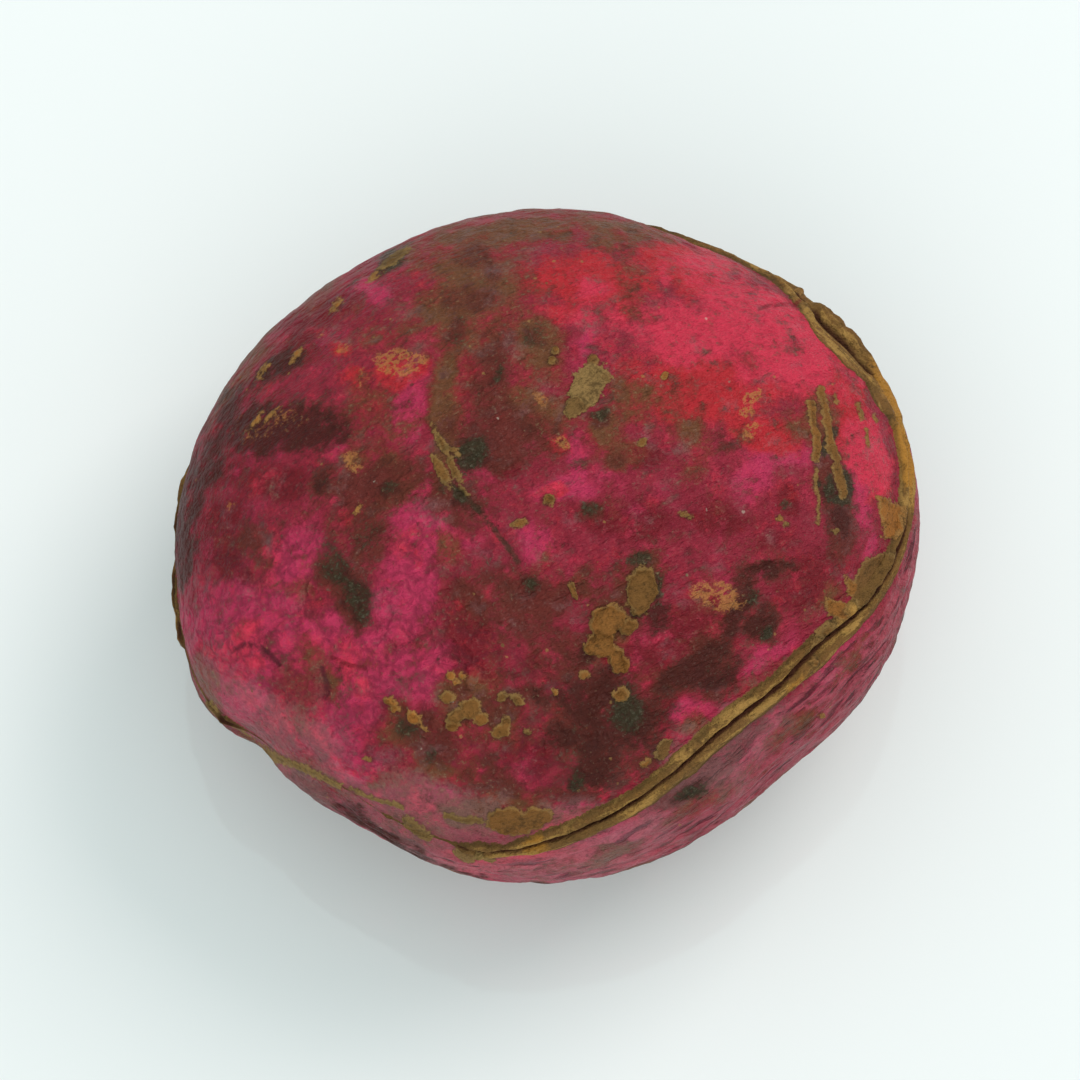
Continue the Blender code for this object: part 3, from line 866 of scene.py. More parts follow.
@dataclass
class SeedCoat:
    """The nut's coat: its fine mesh, its relief and what its material needs to know."""

    form: NutForm = field(default_factory=NutForm)
    view: PhotoView = field(default_factory=PhotoView)
    squares_a_side: int = 88
    rows: int = 128
    wall_share: float = 0.5  # of the way from the seam to a pole, that the cube's walls cover
    rows_at_seam: float = 0.34  # how close the rows are there, as a share of even spacing
    scab_cuts: int = 2  # across each square where a scab comes
    scab_margin_mm: float = 0.18
    stray_scabs: int = 46  # on the sides that the photograph doesn't show
    stray_places: int = 400  # all round, from which theirs are taken
    stray_facing: float = -0.25  # how far their places are turned away from the camera
    stray_from_seam: float = 0.0012
    stray_half_width_mm: float = 0.22
    stray_widest_mm: float = 0.75
    stray_orange: float = 0.35
    scab_jog: tuple[float, float] = (0.13, 0.06)  # by coarse and fine noise, in breadths of the scab
    scab_jog_pixels: float = 0.5
    rim_inside_mm: float = 0.11  # from a scab's edge to the crest of its rim
    rim_half_width_mm: float = 0.13
    shown_facing: tuple[float, float] = (-0.02, 0.12)  # at which the coat starts to show, and shows

    upper_lip_mm: float = 0.66
    lower_lip_mm: float = 0.98
    lip_height: float = 0.00028
    patch_height: float = 0.00008  # of the cork beside the seam
    crack_half_width: float = 0.00014
    crack_depth: float = 0.0005
    trough_half_width: float = 0.0024
    trough_depth: float = 0.00012
    lump_height: float = 0.00011
    wrinkle_height: float = 0.00004
    crinkle_height: float = 0.00005
    furrow_height: float = 0.00013
    furrows_from: tuple[float, float] = (0.0009, 0.0018)  # below the crack, where they start and are full
    furrows_to: tuple[float, float] = (0.011, 0.006)  # where they end, and are still full
    calm_half_width: float = 0.0014  # beside the crack, where the coat is smoother
    crease_depth: float = 0.00008
    crease_half_width_mm: float = 0.3
    crease_reach: float = 12.0  # photograph pixels beyond which a crease does nothing
    open_gape: tuple[float, float] = (0.45, 0.9)  # at which the crack starts to stand open, and does

    def ruled_cube(self) -> bmesh.types.BMesh:
        """A cube from -1 to 1, with square lids and with rows of squares round its walls."""
        cube = bmesh.new()
        bmesh.ops.create_cube(cube, size=2.0)
        upright = [e for e in cube.edges if abs(e.verts[0].co.z - e.verts[1].co.z) > 1.0]
        bmesh.ops.subdivide_edges(cube, edges=upright, cuts=self.rows - 1)
        level = [e for e in cube.edges if abs(e.verts[0].co.z - e.verts[1].co.z) < 1e-6]
        bmesh.ops.subdivide_edges(cube, edges=level, cuts=self.squares_a_side - 1, use_grid_fill=True)
        bmesh.ops.recalc_face_normals(cube, faces=cube.faces[:])
        return cube

    def blown_up(self, cube: bmesh.types.BMesh) -> tuple[Values, Values, Values]:
        """Blows the cube up to a ball whose equator is the seam, and on to the nut.

        Args:
            cube: the cube.

        Returns:
            The points, their directions from the nut's middle, and their distances from the crack.
        """
        x, y, z = np.array([vertex.co[:] for vertex in cube.verts]).T
        level_x, level_y = x * np.sqrt(1.0 - y * y / 2), y * np.sqrt(1.0 - x * x / 2)
        reach = np.hypot(level_x, level_y)
        up_wall = np.abs(z) * (self.rows_at_seam + (1.0 - self.rows_at_seam) * np.abs(z))
        on_lid = reach < 1.0 - 1e-6
        share = np.where(on_lid, 1.0 - (1.0 - self.wall_share) * reach, self.wall_share * up_wall)
        return self.form.skin(np.arctan2(level_y, level_x), np.copysign(share, z))

    def facing(self, outwards: Values) -> Values:
        """How squarely each point faces the photograph's camera, from 1 to -1 if turned away."""
        normals = outwards / np.array((self.form.length, self.form.width, self.form.height)) ** 2
        normals /= np.linalg.norm(normals, axis=1)[:, None]
        return normals @ self.view.axes()[2]

    def shown(self, outwards: Values) -> Values:
        """How surely the photograph shows each point, from 0 to 1."""
        return smooth_rise(self.facing(outwards), *self.shown_facing)

    def stray_marks(self) -> list[tuple[Values, Values, float, float, Cork]]:
        """Scabs for the sides that the photograph doesn't show.

        Returns:
            For each, its middle, the direction that it is long in, its half width and half length
            in millimetres, and its kind.
        """
        draw = np.random.default_rng(SEED)
        azimuth = draw.uniform(-math.pi, math.pi, self.stray_places)
        share = draw.uniform(-0.9, 0.9, self.stray_places)
        points, outwards, from_crack = self.form.skin(azimuth, share)
        turned_away = self.facing(outwards) < self.stray_facing
        unseen = np.flatnonzero(turned_away & (np.abs(from_crack) > self.stray_from_seam))
        kinds = (Cork.PLATE, Cork.PLATE, Cork.CRUMB, Cork.CRUMB, Cork.FIBRE, Cork.FOLD, Cork.RING)
        strays = []
        for index in unseen[: self.stray_scabs]:
            half_width = self.stray_half_width_mm * math.exp(draw.normal(0.0, 0.5))
            half_width = min(half_width, self.stray_widest_mm)
            stretch = draw.uniform(1.0, 2.2)
            along = np.cross(outwards[index], draw.normal(size=3))
            along /= np.linalg.norm(along)
            kind = kinds[draw.integers(len(kinds))]
            strays.append((points[index], along, half_width, half_width * stretch, kind))
        return strays

    def scabs(self, skin: Skin) -> tuple[Values, Values, Values]:
        """Where the scabs are, and how high they stand.

        Args:
            skin: the coat's points.

        Returns:
            How deep in millimetres each point is inside a scab's edge, how orange the scab is and
            how far it lifts the point, in metres.
        """
        coarse_x, coarse_y = skin.noise(0.75, 5), skin.noise(0.75, 6)
        fine_x, fine_y = skin.noise(0.28, 7), skin.noise(0.28, 8)
        crumple = skin.noise(0.55, 9, 2)
        inside_mm = np.full(skin.shown.shape, -1.0)
        ochre = np.zeros(skin.shown.shape)
        height_mm = np.zeros(skin.shown.shape)

        def lay(depth_mm: Values, cork: CorkForm, orange: float) -> None:
            """Adds one scab, of the given depth inside its edge."""
            nonlocal inside_mm, ochre, height_mm
            rim = cork.rim_mm * bell(depth_mm - self.rim_inside_mm, self.rim_half_width_mm)
            flat = (cork.height_mm + cork.crumple_mm * crumple) * smooth_rise(depth_mm, -0.03, 0.13)
            height_mm = np.maximum(height_mm, flat + rim)
            ochre = np.where(depth_mm > inside_mm, orange, ochre)
            inside_mm = np.maximum(inside_mm, depth_mm)

        coarse, fine = self.scab_jog
        for scab in chain.from_iterable(SCABS.values()):
            right = scab.breadth * (coarse * coarse_x + fine * fine_x) + self.scab_jog_pixels * fine_x
            down = scab.breadth * (coarse * coarse_y + fine * fine_y) + self.scab_jog_pixels * fine_y
            depth_mm = scab.depth(skin.moved(right, down)) * self.view.pixel_mm
            lay(np.where(skin.shown > 0.5, depth_mm, -1.0), scab.cork.value, scab.strength)
        low, high = np.array(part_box(NODE))
        to_node = ((low + high) / 2)[:2]
        orange = self.stray_orange
        for middle, along, half_width, half_length, kind in self.stray_marks():
            offset = skin.points / MM - middle / MM
            offset[:, :2] -= to_node / MM
            distance = np.linalg.norm(offset, axis=1)
            lengthways = offset @ along
            across = np.sqrt(np.maximum(distance**2 - lengthways**2, 0.0))
            ragged = np.hypot(lengthways / half_length, across / half_width)
            ragged = ragged + 0.35 * coarse_x + 0.15 * fine_x
            lay(np.where(skin.shown < 0.5, (1.0 - ragged) * half_width, -1.0), kind.value, orange)
        return inside_mm, ochre, height_mm * MM

    @staticmethod
    def held(marks: Marks, seen: Pixels) -> Values:
        """How strongly the strongest mark holds each point, from 0 outside them all.

        Args:
            marks: the marks, by where they lie.
            seen: where the photograph shows the points.

        Returns:
            One strength for each point.
        """
        strongest = np.zeros(seen[0].shape)
        for mark in chain.from_iterable(marks.values()):
            inside = smooth_rise(mark.inside(seen), *MARK_EDGE)
            strongest = np.maximum(strongest, mark.strength * inside)
        return strongest

    def fields(self, skin: Skin) -> dict[Field, Values]:
        """What lies where on the coat, leaving out its scabs.

        Args:
            skin: the coat's points.

        Returns:
            One set of numbers for each field.
        """
        shown, hidden = skin.shown, 1.0 - skin.shown
        wide_x, wide_y = skin.noise(2.6, 1, 3), skin.noise(2.6, 2, 3)
        near_x, near_y = skin.noise(0.8, 3), skin.noise(0.8, 4)
        made = {Field.FROM_CRACK: skin.from_crack / MM}
        for shift, (name, drift) in enumerate(DRIFTS.items(), start=11):
            right, down = 2.2 * wide_x + near_x, 2.2 * wide_y + near_y
            place = skin.moved(drift.wander * right, drift.wander * down)
            unseen = smooth_rise(skin.noise(drift.grain_mm, shift, 3), drift.level, drift.level + 0.4)
            spread = shown * self.held(drift.marks, place) + hidden * drift.strength * unseen
            made[name] = spread + drift.uneven * skin.noise(1.5, shift + 40, 3)
        wavy = skin.moved(0.8 * near_x, 0.8 * near_y)
        wander = skin.noise(1.5, 31, 2)
        faded = shown * self.held(LIP_FADES, wavy) + hidden * 0.7 * smooth_rise(wander, -0.3, 0.5)
        faded = np.maximum(faded, self.held(RIM_FADES, wavy))
        widened = shown * 1.3 * np.maximum(self.held(LIP_PATCHES, wavy) - 0.25, 0.0)
        band = np.where(skin.from_crack > 0.0, self.upper_lip_mm, self.lower_lip_mm)
        band = band * (1.0 + 0.14 * wander + 0.10 * near_x) * (1.0 - 0.75 * faded)
        made[Field.LIP] = band + widened - np.abs(skin.from_crack) / MM
        closed = shown * self.held(LIP_CLOSED, skin.seen)
        made[Field.GAPE] = shown * self.held(GAPES, skin.seen) * (1.0 - faded) - closed
        for name, creases in CREASES.items():
            far = np.full(shown.shape, self.crease_reach)
            for crease in creases:
                far = np.minimum(far, crease.across(skin.moved(0.6 * near_x, 0.6 * near_y)))
            made[name] = (far + 8.0 * hidden) * self.view.pixel_mm
        return made

    def relief(self, skin: Skin, fields: dict[Field, Values]) -> Values:
        """How far each point stands out from the plain skin, leaving out its scabs.

        Args:
            skin: the coat's points.
            fields: what lies where on the coat.

        Returns:
            Metres outwards.
        """
        points_mm = skin.points / MM
        from_crack = fields[Field.FROM_CRACK] * MM
        side_mm = np.abs(fields[Field.FROM_CRACK])
        wander, ragged = skin.noise(1.5, 31, 2), skin.noise(0.5, 32, 2)
        band_mm = np.maximum(fields[Field.LIP] + side_mm, 0.05)
        shows = smooth_rise(band_mm, 0.1, 0.5)
        gape = np.maximum(fields[Field.GAPE], -0.8)
        open_wide = smooth_rise(gape, *self.open_gape)
        crest = bell(side_mm - (0.42 - 0.08 * open_wide) * band_mm, (0.55 - 0.15 * open_wide) * band_mm)
        high = 1.0 + open_wide * np.where(from_crack > 0.0, -0.65, 0.9)
        lips = self.lip_height * high * (1.0 + 0.3 * wander + 0.25 * ragged) * crest
        crack_width = self.crack_half_width * (1.0 + 0.9 * gape)
        crack = self.crack_depth * (1.0 + gape) * bell(from_crack, crack_width)
        patch = self.patch_height * smooth_rise(fields[Field.LIP], -0.02, 0.1)
        seam = shows * (lips - crack) + patch - self.trough_depth * bell(from_crack, self.trough_half_width)
        lumps = skin.noise(5, 41, 2) + 0.45 * skin.noise(2.2, 42)
        wrinkles = 1.0 - 2.4 * np.abs(skin.noise(1.3, 43, 2))
        crinkles = soft_noise(points_mm * np.array((0.45, 1.0, 1.0)), 0.6, 45, 2)
        below_seam = smooth_rise(-from_crack, *self.furrows_from)
        below_seam = below_seam * smooth_rise(-from_crack, *self.furrows_to)
        beside_seam = points_mm * np.array((0.22, 0.22, 0.0))
        beside_seam[:, 2] = fields[Field.FROM_CRACK]
        furrows = below_seam * (1.0 - 2.2 * np.abs(soft_noise(beside_seam, 0.9, 44, 2)))
        coat = self.lump_height * lumps + self.wrinkle_height * wrinkles + self.furrow_height * furrows
        coat = coat + self.crinkle_height * (1.0 - below_seam) * crinkles
        standing = seam + (1.0 - 0.85 * bell(from_crack, self.calm_half_width)) * coat
        for name in CREASES:
            standing = standing - self.crease_depth * bell(fields[name], self.crease_half_width_mm)
        return standing

    def build(self) -> bpy.types.Object:
        """Makes the coat's object, with its fields but with no material yet."""
        low, high = np.array(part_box(NODE))
        middle = (low + high) / 2
        cube = self.ruled_cube()
        plain, outwards, from_crack = self.blown_up(cube)
        plain = plain + outwards * self.form.lips(from_crack)[:, None]
        shift = np.array((*(middle - (plain.min(axis=0) + plain.max(axis=0)) / 2)[:2], 0.0))
        centre = np.array((middle[0], middle[1], self.form.girth_height))

        def skin_of_cube() -> Skin:
            """The cube's points on the nut, with all that is known of them."""
            points, outwards, from_crack = self.blown_up(cube)
            points = points + shift
            return Skin(points, outwards, from_crack, self.shown(outwards), self.view.seen(points, centre))

        under_scab = self.scabs(skin_of_cube())[0] > -self.scab_margin_mm
        cube.verts.index_update()
        fine = {e for v in cube.verts if under_scab[v.index] for e in v.link_edges}
        bmesh.ops.subdivide_edges(cube, edges=list(fine), cuts=self.scab_cuts, use_grid_fill=True)
        bmesh.ops.triangulate(cube, faces=[f for f in cube.faces if len(f.verts) > 4])

        skin = skin_of_cube()
        inside_mm, ochre, scab_height = self.scabs(skin)
        fields = self.fields(skin)
        fields[Field.SCAB], fields[Field.OCHRE] = inside_mm, ochre
        points = skin.points + skin.outwards * (self.relief(skin, fields) + scab_height)[:, None]
        points[:, 2] = np.maximum(points[:, 2], low[2])

        mesh = bpy.data.meshes.new("seed_coat")
        cube.to_mesh(mesh)
        cube.free()
        mesh.vertices.foreach_set("co", points.ravel())
        for name, values in fields.items():
            mesh.attributes.new(name.value, "FLOAT", "POINT").data.foreach_set("value", values)
        mesh.shade_smooth()
        mesh.update()
        coat = bpy.data.objects.new("seed_coat", mesh)
        bpy.context.scene.collection.objects.link(coat)
        return coat


@dataclass
class Wiring:
    """A material's nodes."""

    tree: bpy.types.NodeTree

    def add(self, kind: str, inputs: dict[int | str, object], **settings: object) -> bpy.types.Node:
        """Adds a node.

        Args:
            kind: Blender's name for the kind of node.
            inputs: for each socket a value, or the socket or node that it is linked from.
            settings: the node's own settings.

        Returns:
            The node.
        """
        node = self.tree.nodes.new(kind)
        for setting, value in settings.items():
            setattr(node, setting, value)
        for socket, value in inputs.items():
            if isinstance(value, bpy.types.Node):
                value = next(output for output in value.outputs if output.enabled)
            if isinstance(value, Socket):
                self.tree.links.new(value, node.inputs[socket])
            else:
                node.inputs[socket].default_value = value
        return node

    def mask(
        self, start: object, low: float, high: float, roughened: dict[object, float] | None = None
    ) -> bpy.types.Node:
        """A mask from 0 to 1 whose edge noises break up.

        Args:
            start: the socket or node that gives the numbers.
            low: the number where the mask is 0.
            high: the number where it is 1.
            roughened: how much of each noise is added first.

        Returns:
            The node that gives the mask.
        """
        for speckle, amount in (roughened or {}).items():
            start = self.add("ShaderNodeMath", {0: speckle, 1: amount, 2: start}, operation="MULTIPLY_ADD")
        limits = {"Value": start, "From Min": low, "From Max": high}
        return self.add("ShaderNodeMapRange", limits, interpolation_type="SMOOTHSTEP")


@dataclass(frozen=True)
class CoatPaint:
    """The finish of a kola nut's coat: dried leathery skin, magenta from its pigment.

    It is matt to satin, with the fine wrinkles and the brown dust of a skin that has dried and been
    handled. Cork, which heals a wound of the skin, is tan, dry and raised.
    """

    name: str = "kola_seed_coat"
    crimson: str = "8b2233"
    deep: str = "70151f"
    magenta: str = "b32d50"
    scarlet: str = "b2242c"
    # bright pink; on the right slope partly a painted highlight, along the bottom painted bounce light
    pink: str = "ca3048"
    brown_red: str = "7e2e26"
    olive: str = "6a4226"
    brown: str = "5c261b"
    dark: str = "43170f"
    # green-black mould; also painted shade, beside the crown plate and round each scab's foot
    mould_and_shade: str = "2e2a17"
    # dark crimson: painted shade in the wrinkle troughs, cell furrows, flank furrows and grain hollows, and
    # the hook creases' lines
    furrow: str = "4a1420"
    # dusty mauve below the seam, lightened as painted bounce light from the floor
    flank: str = "a84e5a"
    # pale dust, and painted bounce light on the bottom of the flank
    dust: str = "cc9aa0"
    # painted glints on the fine grain's peaks
    grain_glint: str = "8c8378"
    bloom: str = "6f6a54"
    speck: str = "a17d47"
    # painted glints, as pale dots
    glint_speck: str = "cfc3b0"
    flake: str = "b0733e"
    cork: str = "6f4f28"
    cork_pale: str = "9c7d4c"
    cork_dark: str = "453017"
    ochre: str = "a3642a"
    lip: str = "725428"
    lip_gold: str = "ab8245"
    lip_dark: str = "48351a"
    rust: str = "b27a30"
    # painted highlight on the ridges between the flank's furrows
    ridge_highlight: str = "b05a68"
    # the crack's reddish brown, darkened to near black as painted shade of the gap
    crack: str = "3c180e"
    specular: float = 0.13
    skin_roughness: float = 0.46
    cork_roughness: float = 0.75
    mottle_mm: float = 0.75  # sizes of the patterns' largest swells
    grain_mm: float = 0.2
    wrinkle_mm: float = 0.42
    furrow_mm: float = 0.36
    pebble_mm: float = 0.62
    cell_mm: float = 0.95
    bent_mm: float = 0.9
    specks_mm: float = 0.55  # from one loose speck to the next
    crack_half_mm: float = 0.13

    def dress(self, coat: bpy.types.Object) -> None:
        """Gives the coat its material."""
        material = bpy.data.materials.new(self.name)
        material.use_nodes = True
        shader = material.node_tree.nodes["Principled BSDF"]
        wiring = Wiring(material.node_tree)
        add, mask = wiring.add, wiring.mask

        place = add("ShaderNodeTexCoord", {}).outputs["Object"]
        place = add("ShaderNodeMapping", {"Vector": place, "Scale": (1 / MM,) * 3})
        slant = {"Vector": place, "Rotation": (0.0, 0.0, math.radians(4.0)), "Scale": (2.2, 1.0, 1.0)}
        slanting = add("ShaderNodeMapping", slant, vector_type="TEXTURE")
        read = {f: add("ShaderNodeAttribute", {}, attribute_name=f.value).outputs["Fac"] for f in Field}
        level = add("ShaderNodeMapping", {"Vector": place, "Scale": (0.15, 0.15, 0.0)})
        upward = add("ShaderNodeCombineXYZ", {2: read[Field.FROM_CRACK]})
        level = add("ShaderNodeVectorMath", {0: level, 1: upward}, operation="ADD")

        def speckle(where: object, size_mm: float, detail: float, rough: float = 0.6) -> bpy.types.Node:
            """Noise from about -1 to 1, whose largest swells have the given size."""
            noisy = {"Vector": where, "Scale": 1 / size_mm, "Detail": detail, "Roughness": rough}
            spread = {0: add("ShaderNodeTexNoise", noisy), 1: 4.0, 2: -2.0}
            return add("ShaderNodeMath", spread, operation="MULTIPLY_ADD")

        def both(first: object, second: object) -> bpy.types.Node:
            """The product of two masks."""
            return add("ShaderNodeMath", {0: first, 1: second}, operation="MULTIPLY")

        def summed(start: object, parts: dict[object, float]) -> object:
            """A number with shares of others added."""
            for part, amount in parts.items():
                start = add("ShaderNodeMath", {0: part, 1: amount, 2: start}, operation="MULTIPLY_ADD")
            return start

        mottle = speckle(place, self.mottle_mm, 4.0, 0.72)
        grain = speckle(place, self.grain_mm, 2.0, 0.7)
        wrinkle = speckle(slanting, self.wrinkle_mm, 3.0, 0.6)
        furrow = speckle(level, self.furrow_mm, 2.0, 0.6)

        # Gently convex skin cells, with thin furrows between them
        bending = {"Vector": place, "Scale": 1 / self.bent_mm, "Detail": 1.0}
        bent = add("ShaderNodeTexNoise", bending).outputs["Color"]
        bent = add("ShaderNodeVectorMath", {0: bent, 1: (0.8,) * 3, 2: place}, operation="MULTIPLY_ADD")
        edge = {"Vector": bent, "Scale": 1 / self.cell_mm}
        cells = add("ShaderNodeTexVoronoi", edge, feature="DISTANCE_TO_EDGE").outputs["Distance"]
        cell = mask(cells, 0.0, 0.42, {grain: 0.03})
        crazed = mask(read[Field.CRAZING], 0.1, 0.8)
        furrowed = both(crazed, mask(cells, 0.16, 0.0, {grain: 0.05, mottle: 0.06}))
        flank = mask(read[Field.FROM_CRACK], -1.0, -1.7)
        flank_line = both(mask(furrow, 0.1, 0.8, {grain: 0.2}), flank)
        flank_ridge = both(mask(furrow, -0.1, -1.0, {grain: 0.2}), flank)
        wrinkle_line = mask(wrinkle, 0.1, 1.0, {grain: 0.2})
        pebble = speckle(place, self.pebble_mm, 1.0, 0.5)
        calm = mask(mask(read[Field.CRAZING], 0.8, 0.1), -0.5, 1.0)
        shreds = add("ShaderNodeMath", {0: summed(mottle, {wrinkle: 0.5})}, operation="ABSOLUTE")
        network = mask(shreds, 0.42, 0.12, {grain: 0.22})

        # Loose specks: the pale ones are painted glints, the tan and dark ones dust
        spaced = {"Vector": place, "Scale": 1 / self.specks_mm}
        specks = add("ShaderNodeTexVoronoi", spaced, feature="F1")
        dot = mask(specks.outputs["Distance"], 0.18, 0.08, {grain: 0.12})
        chance = add("ShaderNodeSeparateColor", {"Color": specks.outputs["Color"]}).outputs

        side = add("ShaderNodeMath", {0: read[Field.FROM_CRACK]}, operation="ABSOLUTE")
        crack_half = summed(self.crack_half_mm, {read[Field.GAPE]: 0.08})
        in_crack = add("ShaderNodeMath", {0: crack_half, 1: side}, operation="SUBTRACT")
        seam_shows = add("ShaderNodeMath", {0: read[Field.LIP], 1: side}, operation="ADD")
        crack = both(mask(in_crack, -0.05, 0.02, {grain: 0.015}), mask(seam_shows, 0.15, 0.4))
        scab = mask(read[Field.SCAB], -0.02, 0.03, {grain: 0.03})
        rim = mask(read[Field.SCAB], 0.13, 0.05, {mottle: 0.05, grain: 0.02})
        fray = mask(read[Field.SCAB], -0.04, 0.07, {grain: 0.09, mottle: 0.05})
        lip = mask(read[Field.LIP], -0.02, 0.06, {mottle: 0.07, grain: 0.05})
        lip_edge = mask(read[Field.LIP], 0.26, 0.06, {mottle: 0.06, furrow: 0.05})
        lip_crest = mask(furrow, -0.15, 0.6, {grain: 0.3})

        smear = {mottle: 0.34, grain: 0.12}
        rub = {mottle: -0.42, grain: 0.20, wrinkle: 0.26}
        dusty = mask(read[Field.HAZE], 0.05, 0.9, rub)
        flaky = both(mask(read[Field.FLAKE], 0.40, 0.75, {mottle: 0.3, grain: 0.25}), network)
        mould_and_shade_mask = mask(read[Field.MOULD_AND_SHADE], 0.20, 1.0, {mottle: 0.4, grain: 0.3})
        layers = [
            (mask(read[Field.DEEP], 0.05, 0.95, smear), self.deep, 1.0),
            (mask(read[Field.MAGENTA], 0.0, 0.9, smear), self.magenta, 1.0),
            (mask(read[Field.SCARLET], 0.05, 0.95, smear), self.scarlet, 1.0),
            (mask(read[Field.PINK], 0.05, 1.0, smear), self.pink, 1.0),
            # The lower flank: dusty mauve, with painted bounce light from the floor
            (both(flank, mask(mottle, -1.2, 0.5)), self.flank, 0.72),
            # Painted shade in the wrinkle troughs, the crazed cells' furrows and the flank's furrows
            (wrinkle_line, self.furrow, 0.22),
            (furrowed, self.furrow, 0.38),
            (flank_line, self.furrow, 0.85),
            # Painted highlight on the flank's ridges
            (flank_ridge, self.ridge_highlight, 0.6),
            (mask(read[Field.HAZE], 0.0, 0.75, rub), self.brown_red, 0.85),
            (mask(read[Field.HAZE], 0.45, 1.25, rub), self.olive, 0.9),
            (mask(read[Field.BROWN], 0.10, 1.05, rub), self.brown, 0.88),
            # Pale dust, and painted bounce light from the floor
            (mask(read[Field.DUST_AND_BOUNCE], 0.0, 1.0, rub), self.dust, 0.17),
            (mask(read[Field.DARK], 0.15, 1.10, rub), self.dark, 0.9),
            (mould_and_shade_mask, self.mould_and_shade, 0.88),
            (both(mould_and_shade_mask, mask(grain, -0.2, 1.2)), self.bloom, 0.22),
            (flaky, self.flake, 0.7),
            (both(dusty, mask(grain, 0.3, 1.2)), self.speck, 0.28),
            (both(dusty, mask(grain, -0.3, -1.2)), self.mould_and_shade, 0.35),
            # Painted glints on the grain's peaks, and painted shade in its hollows
            (mask(grain, 0.2, 1.2), self.grain_glint, 0.12),
            (mask(grain, -0.2, -1.2), self.furrow, 0.22),
            (both(dot, mask(chance[0], 0.985, 0.99)), self.glint_speck, 0.4),
            (both(dot, mask(chance[1], 0.92, 0.93)), self.speck, 0.5),
            (both(dot, mask(chance[2], 0.92, 0.93)), self.mould_and_shade, 0.5),
            (lip, self.lip, 0.92),
            (both(lip, mask(read[Field.RUST], 0.2, 0.9, {mottle: 0.3, grain: 0.2})), self.rust, 0.85),
            (both(lip, lip_crest), self.lip_gold, 0.8),
            (both(lip, lip_edge), self.lip_dark, 0.6),
            (both(lip, mask(mottle, -0.2, -1.0, {grain: 0.5})), self.lip_dark, 0.5),
            # A dark ring round each scab's foot: partly mould, partly painted shade
            (mask(read[Field.SCAB], -0.10, 0.0, {grain: 0.05}), self.mould_and_shade, 0.35),
            (fray, self.cork, 0.93),
            (both(fray, read[Field.OCHRE]), self.ochre, 0.85),
            (both(fray, mask(read[Field.OCHRE], 0.0, -1.0)), self.cork_pale, 0.9),
            (both(fray, mask(mottle, 0.1, -0.8, {grain: 0.5})), self.cork_dark, 0.6),
            (both(fray, rim), self.cork_pale, 0.4),
            # The crack, painted near black as the shade in its gap
            (crack, self.crack, 0.92),
            (mask(read[Field.SCRATCH], 0.22, 0.04, {mottle: 0.08, grain: 0.05}), self.mould_and_shade, 0.7),
            (mask(read[Field.SLIT], 0.16, 0.06, {grain: 0.03}), self.deep, 0.7),
            (mask(read[Field.HOOK], 0.20, 0.06, {grain: 0.03}), self.furrow, 0.7),
        ]
        colour: object = linear(self.crimson)
        for hold, laid, strength in layers:
            share = add("ShaderNodeMath", {0: hold, 1: strength}, operation="MULTIPLY")
            colour = add("ShaderNodeMix", {0: share, 6: colour, 7: linear(laid)}, data_type="RGBA")
        # Painted shading that follows the bump: cell domes, pebbles, mottle and grain lighter where they
        # stand up, wrinkle troughs darker
        convex = both(crazed, cell)
        painted_relief_shading = summed(0.97, {convex: 0.16, pebble: 0.06, mottle: 0.07, grain: 0.05, wrinkle: -0.05})
        colour = add("ShaderNodeVectorMath", {0: colour, "Scale": painted_relief_shading}, operation="SCALE")

        cork = add("ShaderNodeMath", {0: scab, 1: lip}, operation="MAXIMUM")
        rough = summed(self.skin_roughness, {mottle: 0.05})
        rough = add("ShaderNodeMix", {0: cork, 2: rough, 3: self.cork_roughness}, data_type="FLOAT")

        # How far each pattern stands out of the mesh, in millimetres
        heights = {
            convex: 0.17, pebble: 0.04, mottle: 0.02, both(calm, wrinkle): -0.12, grain: 0.016,
            flank_line: -0.14, scab: 0.02, flank_ridge: 0.06, both(lip, lip_crest): 0.06,
        }
        bump = add("ShaderNodeBump", {"Height": summed(0.0, heights), "Distance": MM})
        for socket, node in {"Base Color": colour, "Roughness": rough, "Normal": bump}.items():
            wiring.tree.links.new(node.outputs[0], shader.inputs[socket])
        shader.inputs["Specular IOR Level"].default_value = self.specular
        coat.data.materials.append(material)


@dataclass(frozen=True)
class SoftBox:
    """A square soft light that faces the nut."""

    name: str
    place: tuple[float, float, float]  # metres from the nut
    size: float
    watts: float


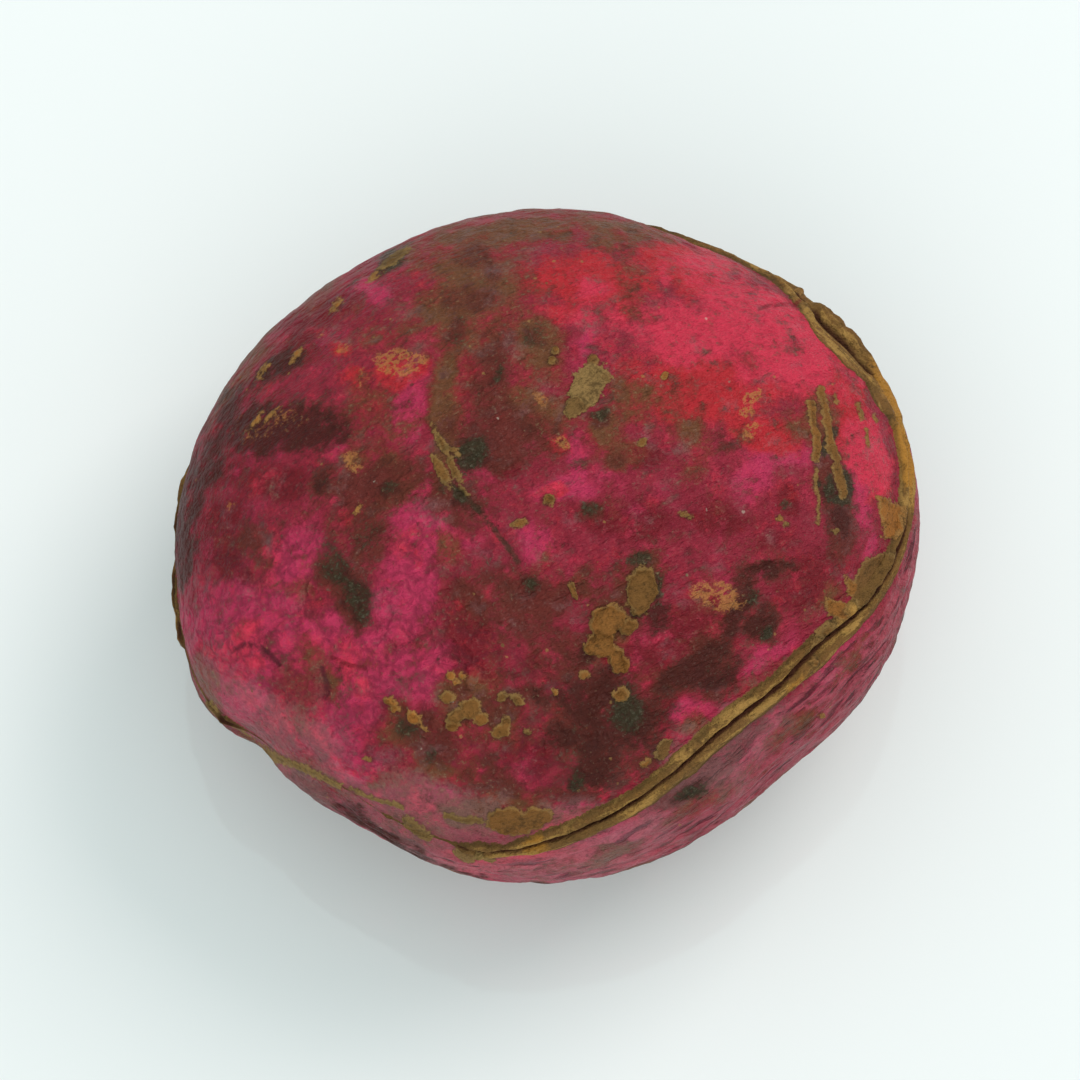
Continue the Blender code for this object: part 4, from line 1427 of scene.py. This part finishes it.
@dataclass
class Studio:
    """A white light tent, its glossy white floor and the camera."""

    view: PhotoView = field(default_factory=PhotoView)
    boxes: Sequence[SoftBox] = (
        SoftBox("key_box", (0.72, 0.21, 0.70), 0.60, 4.4),
        SoftBox("fill_box", (-0.42, -0.62, 0.55), 0.80, 1.6),
    )
    frame_width: float = 0.0526  # what the picture takes in, at the nut
    sensor: float = 36.0  # millimetres
    floor_half: float = 3.0
    floor_colour: str = "f3f3f2"
    tent_colour: str = "e4f5f5"
    tent_strength: float = 0.90
    floor_roughness: float = 0.05
    box_colour: str = "fff3f1"

    @staticmethod
    def target() -> Vector:
        """The nut's middle, which the lights and the camera face."""
        low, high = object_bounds()
        return (Vector(low) + Vector(high)) / 2

    def floor(self) -> None:
        """Lays the floor."""
        sheet = bmesh.new()
        bmesh.ops.create_grid(sheet, x_segments=1, y_segments=1, size=self.floor_half)
        mesh = bpy.data.meshes.new("floor")
        sheet.to_mesh(mesh)
        sheet.free()
        floor = bpy.data.objects.new("floor", mesh)
        bpy.context.scene.collection.objects.link(floor)
        # White acrylic sheet: even, bright, and glossy enough to mirror the nut faintly
        material = bpy.data.materials.new("white_acrylic")
        material.use_nodes = True
        shader = material.node_tree.nodes["Principled BSDF"]
        shader.inputs["Base Color"].default_value = linear(self.floor_colour)
        shader.inputs["Roughness"].default_value = self.floor_roughness
        mesh.materials.append(material)
        floor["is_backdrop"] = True

    def lights(self) -> None:
        """Hangs the soft lights, and lights the tent."""
        world = bpy.data.worlds.new("tent")
        world.use_nodes = True
        glow = world.node_tree.nodes["Background"]
        glow.inputs["Color"].default_value = linear(self.tent_colour)
        glow.inputs["Strength"].default_value = self.tent_strength
        bpy.context.scene.world = world
        for box in self.boxes:
            light = bpy.data.lights.new(box.name, "AREA")
            light.size = box.size
            light.color = linear(self.box_colour)[:3]
            light.energy = box.watts
            lamp = bpy.data.objects.new(box.name, light)
            lamp.location = self.target() + Vector(box.place)
            lamp.rotation_euler = (-Vector(box.place)).to_track_quat("-Z", "Y").to_euler()
            bpy.context.scene.collection.objects.link(lamp)

    def camera(self) -> None:
        """Stands the camera where the photograph's stood, with a lens that fills the frame."""
        backward = Vector(self.view.axes()[2])
        lens = bpy.data.cameras.new("camera")
        lens.sensor_width = self.sensor
        lens.lens = self.sensor * self.view.distance / self.frame_width
        camera = bpy.data.objects.new("camera", lens)
        camera.location = self.target() + backward * self.view.distance
        camera.rotation_euler = (-backward).to_track_quat("-Z", "Y").to_euler()
        bpy.context.scene.collection.objects.link(camera)
        bpy.context.scene.camera = camera


def main() -> None:
    """Builds the coat, dresses it and sets the studio round it."""
    logging.basicConfig(level=logging.INFO, format="%(message)s")
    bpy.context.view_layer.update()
    bpy.context.scene.view_settings.view_transform = "Standard"

    studio = Studio()
    studio.camera()
    studio.lights()
    studio.floor()

    coat = SeedCoat().build()
    CoatPaint().dress(coat)
    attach(coat, BODY)
    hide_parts(NODE)
    triangles = sum(len(face.vertices) - 2 for face in coat.data.polygons)
    log.info("%s: %d points, %d triangles", coat.name, len(coat.data.vertices), triangles)


if __name__ == "__main__":
    main()
